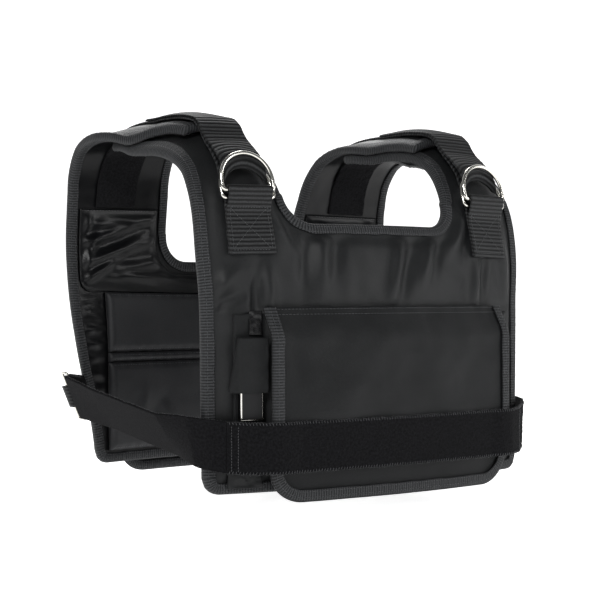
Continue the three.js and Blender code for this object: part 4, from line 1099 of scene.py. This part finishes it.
# %% Ribbed webbing
def webbing(name, hand, rows, node, carrier, pointed=False):
    """Ribbed webbing over a path, with its ribs raised out of a fine grid."""
    line, half = hand * STRAP_LINE, WEBBING_WIDTH / 2
    total = lengths_along(rows[:, :2])
    at = np.linspace(0, total[-1], int(total[-1] / 0.55))
    fine = placed_at(at, total, rows)
    fine[:, :2] = eased(fine[:, :2], 9)
    ahead = unit(np.gradient(fine[:, :2], axis=0))
    offsets = np.linspace(-half, half, 42)
    row, off = crossed(np.arange(len(at)), offsets)
    along, out, soft, bends, rigid = fine[row].T
    across = np.clip(np.abs(off - 1), 0, RING_RADIUS * 0.86)
    root = np.sqrt(RING_RADIUS**2 - across**2)
    fall = (RING_RADIUS - root) * arc_scale
    natural = 1 - smooth(along, lower_arc, lower_arc + 1.6 * STATION)
    bend = np.where(rigid > 0.5, bends, natural) * ("strap" in name)
    faces = grid_faces(len(at), len(offsets))
    frayed = 0.5 * noise(at[row] / 2.3, 0 * off, 61) * (np.abs(off) > half - 0.1) * np.sign(off)
    wander = 0.25 * np.sin(off * 2.2)
    ribs = 0.6 * np.abs(np.sin(math.pi * (at[row] + wander) / RIB)) * (np.abs(off) < 23.6)
    edge_cord = 0.25 * np.exp(-(((np.abs(off) - 23.6) / 0.8) ** 2))
    sheets = []
    for face in (1, -1):
        thick = (WEBBING_THICK / 2 - 0.4 + ribs + edge_cord) * face
        moved = along + ahead[row, 1] * thick
        height = out - ahead[row, 0] * thick
        stretch = np.where(bends > 0.95, (moved - lower_arc) * (RING_RADIUS / root - 1), 0)
        moved = moved + stretch - fall * bend
        if pointed:
            moved = moved + 9 * smooth(at[row], total[-1] - 14, total[-1]) * (off * hand + 24) / 49
        share = (moved - lower_bar) / (lower_arc - lower_bar)
        sag = 4 * ring_rise * np.clip(share, 0, 1) * (1 - np.clip(share, 0, 1)) * (bends > 0.3)
        found = station(moved)
        x = line + off + frayed
        tilt = mix(slope_at(line, moved), slope_at(line, slope_along), rigid)
        flat = inward(line, found) + tilt * off
        reach = height - mix(flat, inward(x, found), soft) - sag
        y = found["y"] + found["out_y"] * reach
        sheets.append(np.stack([x, y, found["z"] + found["out_z"] * reach], -1))
    made = cloth_piece(name, *sheets, faces, off, at[row], WEBBING, node, "webbing")
    return sheets, at, offsets


# %% [markdown]
# Each ring is one closed length of wire. Two lie on every tab, the upper one a little higher, and
# a sewn box with a cross holds the tab to the panel.


# %% Rings and threads
def wire(name, outline, origin, right, up, thick, node):
    """A closed bent wire with a round section; right and up span the plane of its outline."""
    normal = np.cross(right, up)
    ahead = unit(np.roll(outline, -1, axis=0) - np.roll(outline, 1, axis=0))
    away = np.stack([ahead[:, 1], -ahead[:, 0]], 1)
    rings = []
    for turn in range(14):
        angle = 2 * math.pi * turn / 14
        spot = outline + away * thick / 2 * math.cos(angle)
        rings.append(origin + spot[:, :1] * right + spot[:, 1:] * up + normal * thick / 2 * math.sin(angle))
    sections = np.stack(rings, 1)
    made = piece(name, sections.reshape(-1, 3), tube_loops(sections), NICKEL, [node])
    made.modifiers.new("round", "SUBSURF").levels = 1
    return made


arc = [(RING_RADIUS * math.cos(t), RING_LEG + RING_RADIUS * math.sin(t)) for t in np.linspace(0, math.pi, 40)]
corner = 3.6
legs = [(-RING_RADIUS, 5), (-RING_RADIUS, corner), (-RING_RADIUS + 0.9, 1.1), (-RING_RADIUS + corner, 0)]
foot_line = [(x, 0) for x in np.linspace(-20, 20, 6)] + [(-x, y) for x, y in legs[::-1]]
ring_outline = np.array(arc + legs + foot_line)
sewn_thread = {"length": 2.2, "gap": 0.9, "radius": 0.3, "slot": "webbing"}

for name, hand in HANDS:
    line = hand * STRAP_LINE
    strap_parts = (f"strap_{name}", "back_shell")
    strap, at, offsets = webbing(f"strap_webbing_{name}", hand, strap_rows(), *strap_parts, pointed=True)
    tab_parts = (f"ring_tab_{name}", "front_shell")
    tab, tab_at, offsets = webbing(f"tab_webbing_{name}", hand, tab_rows(), *tab_parts)
    top = tab[0].reshape(len(tab_at), len(offsets), 3) + [0, -0.25, 0]
    left_over = tab_at[-1] - tab_at
    sewn = np.flatnonzero((left_over < 46) & (left_over > 3))
    low, high = sewn[-1], sewn[0]
    cross = np.arange(high, low)
    place = np.linspace(3, len(offsets) - 4, len(cross)).astype(int)
    rows = [top[low, 3:-3], top[high, 3:-3], top[high:low, 3], top[high:low, -4]]
    rows += [top[cross, place], top[cross, place[::-1]]]
    stitches(f"tab_thread_{name}", rows, **sewn_thread)
    stand = strap[0].reshape(len(at), len(offsets), 3)
    over = stand + [0, 0, 0.3]
    first = [over[6:70, 3], over[6:70, -4], over[6, 3:-3], over[70, 3:-3]]
    stitches(f"strap_thread_{name}", first, **sewn_thread)
    span = WEBBING_WIDTH / 2
    for part, bar, out, arc_out, shift in (
        ("upper", upper_bar, upper_ring_out, upper_ring_out + 8, -1),
        ("lower", lower_bar, ring_out, ring_out, 1),
    ):
        origin = shell(line, bar, out)
        up = unit(shell(line, along_after(bar, out, ring_reach), arc_out) - origin)
        right = shell(line + span, slope_along, out) - shell(line - span, slope_along, out)
        right = unit(right - up * np.dot(right, up))
        ring = (ring_outline, origin + right * shift, right, up, RING_WIRE)
        wire(f"d_ring_{part}_{name}", *ring, f"ring_{part}_{name}")
    tail = stand[int(len(at) * 0.62) :, 0 if hand < 0 else -1]
    away = np.tile([-0.7, -0.5, 0.5], (len(tail), 1))
    fibres(f"strap_fray_{name}", tail, away, 1800, 2.6, LOOP, seed=5)

# %% [markdown]
# ## Pockets and flap
# The flap is one layer of twill with its sides and round lower corners bound. It is sewn along
# its top, and it lies over nine filled pockets, of which the outermost one shows at the left.


# %% Pockets
pocket_out = PANEL_THICK + CLEAR
flap_inner = FLAP_HALF_WIDTH - FLAP_TAPE - 1


def bulge_at(x, below, fill=1.0):
    across = np.minimum(np.abs(x) / FLAP_HALF_WIDTH, 1) ** 2
    tuck = 1 - 0.45 * smooth(below, FLAP_LENGTH * 0.62, FLAP_LENGTH * 0.98)
    return fill * POCKET_THICK * (0.75 + 0.45 * across) * smooth(below, -6, 34) * tuck


pocket_top = along_at(FLAP_TOP)
pitch = 2 * flap_inner / POCKET_COUNT


def pocket_outer(below, x):
    seam = np.abs(np.cos(math.pi * (x + flap_inner) / pitch)) ** 6
    full = np.maximum(bulge_at(x - FLAP_SHIFT, below) - 1.5, 1.6)
    thick = np.where(np.abs(x) <= flap_inner, full * (1 - 0.35 * seam), 1.6)
    wrinkle = 2.2 * np.abs(fractal(x / 14, below / 17, 71)) * (np.abs(x) > flap_inner + 6)
    return shell(x, pocket_top - below, pocket_out + np.maximum(thick, 1.6) + wrinkle)


def pocket_inner(below, x):
    return shell(x, pocket_top - below, pocket_out + 0 * x)


pocket_rows = np.linspace(160, 6, 60)
pocket_cols = np.linspace(-POCKET_HALF_WIDTH, POCKET_HALF_WIDTH, 170)
pocket_look = ((pocket_outer, pocket_inner), TWILL, "weight_pockets", "nylon")
pockets = sheet_piece("pocket_cloth", pocket_rows, pocket_cols, *pocket_look)


# %% [markdown]
# The front flap hangs over the full pockets and the belt ties it down near its hem, so it creases
# above the belt. The back flap is the same cut and lies almost flat.

# %% Flaps
FLAP_FOLDS = [
    # x, z, lean, half length, half width, height
    (-71, -278, -50, 36, 40, 3.0),
    (51, -236, -45, 43, 24, 2.4),
    (-20, -214, -40, 36, 24, 2.0),
    (-44, -262, -58, 52, 12, 1.6),
    (-64, -252, -58, 46, 10, -1.4),
    (92, -300, -64, 40, 14, 1.2),
    (-118, -230, -10, 34, 9, -1.2),
]


def reach_at(x):
    """How far down the flap reaches at x, as a share: less at its round corners."""
    past = np.clip(np.abs(x) - (FLAP_HALF_WIDTH - FLAP_CORNER), 0, FLAP_CORNER)
    return 1 - (FLAP_CORNER - np.sqrt(FLAP_CORNER**2 - past**2)) / FLAP_LENGTH


for name, behind, hang, shift, fill, near in (
    ("front", False, -1, FLAP_SHIFT, 1.0, 2 * TAPE_CLEAR),
    ("back", True, 1, 0, 0.12, TAPE_CLEAR),
):
    top = along_at(FLAP_TOP, behind)

    def flap_out(x, along, face):
        found = station(along)
        # The belt presses the folds flat below this
        held = smooth(found["z"], -302, -284)
        ripple = 0 if behind else 3.0 * folds(x, found["z"], FLAP_FOLDS) * held
        below = (along - top) * hang
        side = smooth(FLAP_HALF_WIDTH - np.abs(x - shift), 0, 14)
        ripple = ripple + 1.5 * fractal(x / 38, found["z"] / 30, 75, 2) * side * mix(0.4, 1, held)
        pulled = 0.5 * np.sin(x / 5 + 2 * noise(x / 16, 0 * x, 77)) * np.exp(-below / 9)
        under = pocket_out + near + TAPE_THICK + bulge_at(x - shift, below, fill)
        return under + ripple + pulled + (FLAP_THICK if face else 0)

    def flap_face(row, col, face):
        along = top + hang * row * reach_at(col)
        return shell(col + shift, along, flap_out(col + shift, along, face))

    rows = np.linspace(0, FLAP_LENGTH, 90)[::hang]
    cols = np.linspace(-FLAP_HALF_WIDTH, FLAP_HALF_WIDTH, 140)
    flap_name = f"{name}_flap"
    sides = [partial(flap_face, face=face) for face in (1, 0)]
    made = sheet_piece(flap_name + "_twill", rows, cols, sides, TWILL, flap_name, "twill")
    edge_rows = np.linspace(0, FLAP_LENGTH, 60)
    edge_cols = np.linspace(-FLAP_HALF_WIDTH, FLAP_HALF_WIDTH, 120)[1:-1]
    line_x = np.concatenate([np.full(60, -FLAP_HALF_WIDTH), edge_cols, np.full(60, FLAP_HALF_WIDTH)])
    line_row = np.concatenate([edge_rows, np.full(118, FLAP_LENGTH), edge_rows[::-1]])
    line_along = top + hang * line_row * reach_at(line_x)
    line = (line_x[::-hang] + shift, line_along[::-hang], flap_out, flap_name + "_binding")
    tape = binding(flap_name + "_tape", *line, 3, False, FLAP_TAPE, near)
    carrier = "pocket_cloth" if name == "front" else "back_shell"
    seam_x = np.linspace(-FLAP_HALF_WIDTH + 3, FLAP_HALF_WIDTH - 3, 160) + shift
    lines = []
    for drop in (2, 7):
        seam_along = np.full(160, top + hang * drop)
        lines.append(shell(seam_x, seam_along, flap_out(seam_x, seam_along, 1) + 0.1))
    stitches(f"{name}_flap_seam", lines, slot="twill")
print("flaps done")

# %% [markdown]
# ## The open pocket
# At the left the flap ends before the row of pockets does. There the end of a bar weight shows
# between the pocket's twill closure and its hem, with a glossy pull tab above the closure.


# %% Closure, pull tab and hem
BAR_WIDTH = 24
BAR_THICK = 9.5
BAR_LENGTH = 78
BAR_INNER = 150
BAR_DROP = 252
CLOSURE_OUTER = 183
bar_base = pocket_out + 1.6 + CLEAR
bar_top = bar_base + BAR_THICK
bar_outer = BAR_INNER + BAR_WIDTH


def side_sheet(name, node, slot, material, x_range, drops, out_at, thick, seed, taper):
    """A small sheet on the left side, with its places given as distance from the middle and drop."""
    rows, cols = np.linspace(*drops, 34), np.linspace(*x_range, 26)
    levels = np.linspace(*drops, 60)
    alongs = [along_at(drop) for drop in levels]

    def face(row, col, lift):
        rim = np.clip(np.minimum(row - drops[0], drops[1] - row) / 3, 0, 1)
        soft = 0.6 * fractal(row / 11, col / 11, seed) * rim
        share = (row - drops[0]) / (drops[1] - drops[0])
        col = mix(x_range[0], col, 1 - taper * (1 - share))
        return shell(-col, np.interp(row, levels, alongs), out_at(col) + lift * (thick + soft))

    sides = [partial(face, lift=lift) for lift in (1, 0)]
    return sheet_piece(name, rows, cols, sides, material, node, slot)


def cover_out(x):
    return mix(bar_top + 3 * CLEAR, bar_base + 3, smooth(x, bar_outer + 0.5, CLOSURE_OUTER))


def level_out(x, out):
    return 0 * x + out


edge_x = BAR_INNER - 3
low_out, hem_out = partial(level_out, out=bar_base), partial(level_out, out=pocket_out)
# Name, node, slot, material; across and drop, height, thickness, seed, taper and carrier
SMALL_SHEETS = [
    (("closure_twill", "pocket_closure_left", "twill", TWILL),
     ((edge_x, CLOSURE_OUTER), (210, 264), cover_out, 1.4, 81, 0.16), "weight_left"),
    (("pull_tab", "pocket_pull_left", "tape", GLOSS),
     ((edge_x + 1, edge_x + 14), (184, 208), low_out, 1.4, 83, 0), "pocket_cloth"),
    (("pocket_hem_fold", "pocket_hem_left", "nylon", NYLON),
     ((edge_x, CLOSURE_OUTER - 1), (341.5, 358.5), hem_out, 3, 85, 0), "front_shell"),
]
for names, sizes, carrier in SMALL_SHEETS:
    made = side_sheet(*names, *sizes)

# %% [markdown]
# The weight is one plain bar whose rounded edges are rubbed bright.

# %% Bar weight
ends = [shell(-x, along_at(BAR_DROP), 0) for x in (BAR_INNER, bar_outer)]
turn = math.atan2(ends[0][1] - ends[1][1], BAR_WIDTH)
middle = shell(-BAR_INNER - BAR_WIDTH / 2, along_at(BAR_DROP), bar_base + BAR_THICK / 2 + CLEAR)
corners = []
for high in (-1, 1):
    for a, b in ((-1, -1), (1, -1), (1, 1), (-1, 1)):
        over, deep = a * BAR_WIDTH / 2, b * BAR_THICK / 2
        x = middle[0] + over * math.cos(turn) - deep * math.sin(turn)
        y = middle[1] + over * math.sin(turn) + deep * math.cos(turn)
        corners.append((x, y, -BAR_DROP + high * BAR_LENGTH / 2))
bar_faces = [(0, 1, 2, 3), (7, 6, 5, 4), (0, 4, 5, 1), (1, 5, 6, 2), (2, 6, 7, 3), (3, 7, 4, 0)]
bar = piece("bar_weight", corners, bar_faces, BARE, ["weight_left"])
rounding = bar.modifiers.new("cast edges", "BEVEL")
rounding.width = 1.3 * MM
rounding.segments = 4
bar.data.materials.append(NICKEL)
rounding.material = 1

# %% [markdown]
# ## Belt
# The belt is 50 mm loop-faced tape. Its front length is sewn over the flap, and the free length at
# each side runs back to a flat steel ring, folds round it and comes back under itself.
# The tape was cut, not woven to width, so its edges shed pale fibres.

# %% Belt sizes
BELT_SEAM = 190
BELT_CORNER_Y = 156
BELT_FOLD = 32
BUCKLE_WIRE = 3
BUCKLE_GAP = 12
BUCKLE_CORNER = 2.4
BELT_LEAN = 32
BELT_TAB_WIDTH = 25
BELT_TAB_THICK = 1.6
# Right hand, from front to back: x, y, drop and the share of the belt's full lean
BELT_SIDE = [
    (190.4, -155.6, 316, 0),
    (203, -146, 314, 0.1),
    (214, -128, 311, 0.35),
    (220, -90, 307, 1),
    (223, -30, 299, 1),
    (225, 40, 290, 1),
    (226.5, 88, 284, 0.8),
    (226, 110, 282, 0.7),
]
# The tab round the ring's rear bar, right hand: x and y
BELT_TAB = [
    (172, 140.5),
    (196, 134.5),
    (209, 131.8),
    (217, 128.4),
    (219.2, 124.2),
    (220.3, 121.5),
    (223.1, 120.3),
    (225.9, 121.5),
    (227, 124.2),
    (225.4, 131),
    (218, 135.9),
    (196, 137.1),
    (172, 143.2),
]
print("belt side", len(BELT_SIDE), "places, tab", len(BELT_TAB))

# %% [markdown]
# A band is a flat tape along a path, with rough cut edges. An overlocked thread whips over both
# edges of the belt, and pale fibres have worked loose from them.


# %% Bands and their edges
def band(name, places, across, width, thick, material, node, slot, soften, relief):
    """A flat band on a smoothed path; across holds the direction of its width at every place."""
    total = lengths_along(places)
    at = np.linspace(0, total[-1], int(total[-1] / 1.1))
    fine = eased(placed_at(at, total, np.hstack([places, across])), soften)
    over = unit(fine[:, 3:])
    normal = unit(np.cross(np.gradient(fine[:, :3], axis=0), over))
    offsets = np.linspace(-width / 2, width / 2, int(width / 1.1))
    row, off = crossed(np.arange(len(at)), offsets)
    ragged = 0.4 * noise(at[row] / 1.9, off / 30, 91) * (np.abs(off) > width / 2 - 0.1)
    base = fine[row, :3] + over[row] * (off + ragged * np.sign(off))[:, None]
    outer = base + normal[row] * (thick / 2 + relief(at[row], off))[:, None]
    inner = base - normal[row] * (thick / 2)
    faces = grid_faces(len(at), len(offsets))
    made = cloth_piece(name, outer, inner, faces, at[row], off, material, node, slot)
    return made, outer.reshape(len(at), len(offsets), 3), at


def nap(at, off):
    return 0.3 * noise(at / 1.7, off / 1.7, 93) + 0.25 * noise(at / 14, off / 14, 94)


def ribbed(at, off):
    return 0.25 * np.abs(np.sin(at * math.pi / 2.6)) - 0.1


def overlock(name, face):
    """The whipped thread over both edges of the tape, one short slanting bar after another."""
    bars = []
    for near, far, hand in ((0, 3, -1), (-1, -4, 1)):
        for index in range(2, len(face) - 4, 3):
            start, end, beside = face[index, near], face[index + 1, far], face[index + 1, near]
            up = unit(np.cross(end - start, beside - start)) * 0.3 * hand
            bars.append(np.array([start + up * 0.6, (start + end) / 2 + up, end + up * 0.6]))
    return stitches(name, bars, length=2.6, gap=0.2, radius=0.34, slot="loop")


def frayed_edges(name, face, leaning, seed):
    """Pale fibre ends along both edges of the tape."""
    for edge, word in ((0, "low"), (-1, "top")):
        away = np.tile([*leaning, 0.8 if edge else -0.8], (len(face), 1))
        fibres(f"{name}_fray_{word}", face[:, edge], away, 1500, 1.0, FRAY, seed=seed + edge)


# %% [markdown]
# The front length lies on the flap, so its path is read off the hill that the pockets make. Each
# side length then hangs free from the flap's seam to its ring.

# %% Belt front and sides
belt_drops = (BELT_DROP - BELT_WIDTH / 2, BELT_DROP, BELT_DROP + BELT_WIDTH / 2)
belt_alongs = [along_at(drop) for drop in belt_drops]


def flap_hill(x, along):
    below = pocket_top - along
    under = pocket_out + 2 * TAPE_CLEAR + TAPE_THICK + FLAP_THICK
    return under + bulge_at(x - FLAP_SHIFT, below)


front_x = np.linspace(-FLAP_HALF_WIDTH - 3, FLAP_HALF_WIDTH + 3, 90) + FLAP_SHIFT
raised = np.max([flap_hill(front_x, along) for along in belt_alongs], axis=0)
taped = smooth(np.abs(front_x - FLAP_SHIFT), flap_inner - 20, flap_inner) * (2 * TAPE_CLEAR + TAPE_THICK)
front_places = shell(front_x, belt_alongs[1], raised + taped + SOFT_CLEAR + BELT_THICK / 2)
front_places[:, 2] = -BELT_DROP
end_y, bend_y = -BELT_CORNER_Y, -BELT_CORNER_Y - 9
starts = [[-BELT_SEAM, end_y, -BELT_DROP + 2], [-BELT_SEAM + 10, bend_y, -BELT_DROP + 1]]
finals = [[BELT_SEAM - 10, bend_y, -BELT_DROP + 1], [BELT_SEAM, end_y, -BELT_DROP + 2]]
belt_places = np.vstack([starts, front_places, finals])
upright = np.tile([0.0, 0, 1], (len(belt_places), 1))
belt_sizes = (BELT_WIDTH, BELT_THICK, LOOP)
front_path = (belt_places, upright)
made, face, at = band("belt_front_tape", *front_path, *belt_sizes, "belt_front", "loop", 9, nap)
seams = [face[index, 2:-2] + [0, -0.35, 0] for index in (4, 10, len(at) - 5, len(at) - 11)]
stitches("belt_seam_thread", seams, length=2.0, gap=0.8, radius=0.35, slot="loop")
overlock("belt_front_overlock", face)
frayed_edges("belt_front", face, (0, -0.6), 12)

run = np.array([0.0, 1, 0])
half = BELT_WIDTH / 2 + BUCKLE_WIRE
buckle_outline = []
for start, far, high in ((180, 0, 0), (270, 1, 0), (0, 1, 1), (90, 0, 1)):
    for angle in np.radians(np.linspace(start, start + 90, 7)):
        x = BUCKLE_CORNER * (1 + math.cos(angle)) + far * (BUCKLE_GAP - 2 * BUCKLE_CORNER)
        y = BUCKLE_CORNER * (1 + math.sin(angle)) + high * 2 * (half - BUCKLE_CORNER) - half
        buckle_outline.append((x, y))

for name, hand in HANDS:
    wrap_radius = BUCKLE_WIRE / 2 + CLEAR + BELT_THICK / 2
    places, widths = [], []
    for x, y, drop, lean in BELT_SIDE:
        tilt = math.radians(BELT_LEAN * lean)
        places.append(np.array([hand * x, y, -drop]))
        widths.append(np.array([hand * math.sin(tilt), 0, math.cos(tilt)]))
    across = widths[-1]
    outward = np.cross(run, across) * hand
    front = places[-1] - outward * wrap_radius + run * 2
    for angle in HALF_TURN:
        places.append(front + outward * wrap_radius * math.cos(angle) + run * wrap_radius * math.sin(angle))
    under = front - outward * wrap_radius
    places += [under - run * 9, under - run * BELT_FOLD]
    widths += [across] * (len(places) - len(widths))
    belt_name = f"belt_side_{name}"
    path = (np.array(places), np.array(widths))
    made, face, at = band(belt_name + "_tape", *path, *belt_sizes, belt_name, "loop", 5, nap)
    overlock(belt_name + "_overlock", face)
    frayed_edges(belt_name, face[: int(len(at) * 0.9)], (hand * 0.6, 0), 20 + hand)
    buckle = (np.array(buckle_outline), front, run, across, BUCKLE_WIRE)
    wire(f"belt_loop_{name}", *buckle, f"belt_ring_{name}")
    places = np.array([[hand * x, y, -BELT_SIDE[-1][2]] for x, y in BELT_TAB])
    path = (places, np.tile(across, (len(places), 1)))
    tab_name = f"belt_tab_{name}"
    tab_look = (BELT_TAB_WIDTH, BELT_TAB_THICK, WEBBING, tab_name, "webbing", 3, ribbed)
    made, _, at = band(tab_name + "_webbing", *path, *tab_look)
print("belt done")

# %% [markdown]
# ## Studio
# The vest is shown on a plain pale ground under soft light, from the photograph's own place.


# %% Studio and camera
bpy.context.scene.view_settings.view_transform = "Standard"
ground_paint, _, shader = new_material("painted studio ground", Roughness=0.9)
for socket in ("Base Color", "Emission Color"):
    shader.inputs[socket].default_value = linear("#f6f6f6")
shader.inputs["Emission Strength"].default_value = 0.85
floor_z = -0.392
profile_line = [(-6.0, floor_z), (2.2, floor_z)]
for angle in np.radians(np.linspace(0, 90, 16)):
    profile_line.append((2.2 + 1.4 * math.sin(angle), floor_z + 1.4 - 1.4 * math.cos(angle)))
profile_line.append((3.6, 5.0))
count = len(profile_line)
sweep = [(x, y, z) for x in (-6.0, 6.0) for y, z in profile_line]
ground = bpy.data.meshes.new("studio ground")
ground.from_pydata(sweep, [], [(k, k + 1, count + k + 1, count + k) for k in range(count - 1)])
ground.polygons.foreach_set("use_smooth", [True] * len(ground.polygons))
ground.materials.append(ground_paint)
floor = bpy.data.objects.new("studio ground", ground)
floor.rotation_euler[2] = math.radians(-34.1)
bpy.context.scene.collection.objects.link(floor)

world = bpy.data.worlds.new("studio air")
world.use_nodes = True
world.node_tree.nodes["Background"].inputs["Color"].default_value = linear("#f4f6f8")
world.node_tree.nodes["Background"].inputs["Strength"].default_value = 0.15
bpy.context.scene.world = world


def softbox(name, place, size, power):
    light = bpy.data.lights.new(name, "AREA")
    light.size = size
    light.energy = power
    made = bpy.data.objects.new(name, light)
    made.location = place
    aim = Vector((0, 0, -0.2)) - Vector(place)
    made.rotation_euler = aim.to_track_quat("-Z", "Y").to_euler()
    bpy.context.scene.collection.objects.link(made)


softbox("key softbox", (-1.6, -1.4, 1.2), 0.5, 28)
softbox("side softbox", (1.35, -1.6, 0.45), 0.7, 12)
softbox("rim softbox", (0.6, 1.5, 1.5), 0.8, 22)

lens = bpy.data.cameras.new("camera")
lens.lens = 90
lens.sensor_width = 36
camera = bpy.data.objects.new("camera", lens)
camera.location = (-0.9472, -1.4005, -0.160)
camera.rotation_euler = (math.radians(89.5), 0, math.radians(-34.1))
bpy.context.scene.collection.objects.link(camera)
bpy.context.scene.camera = camera
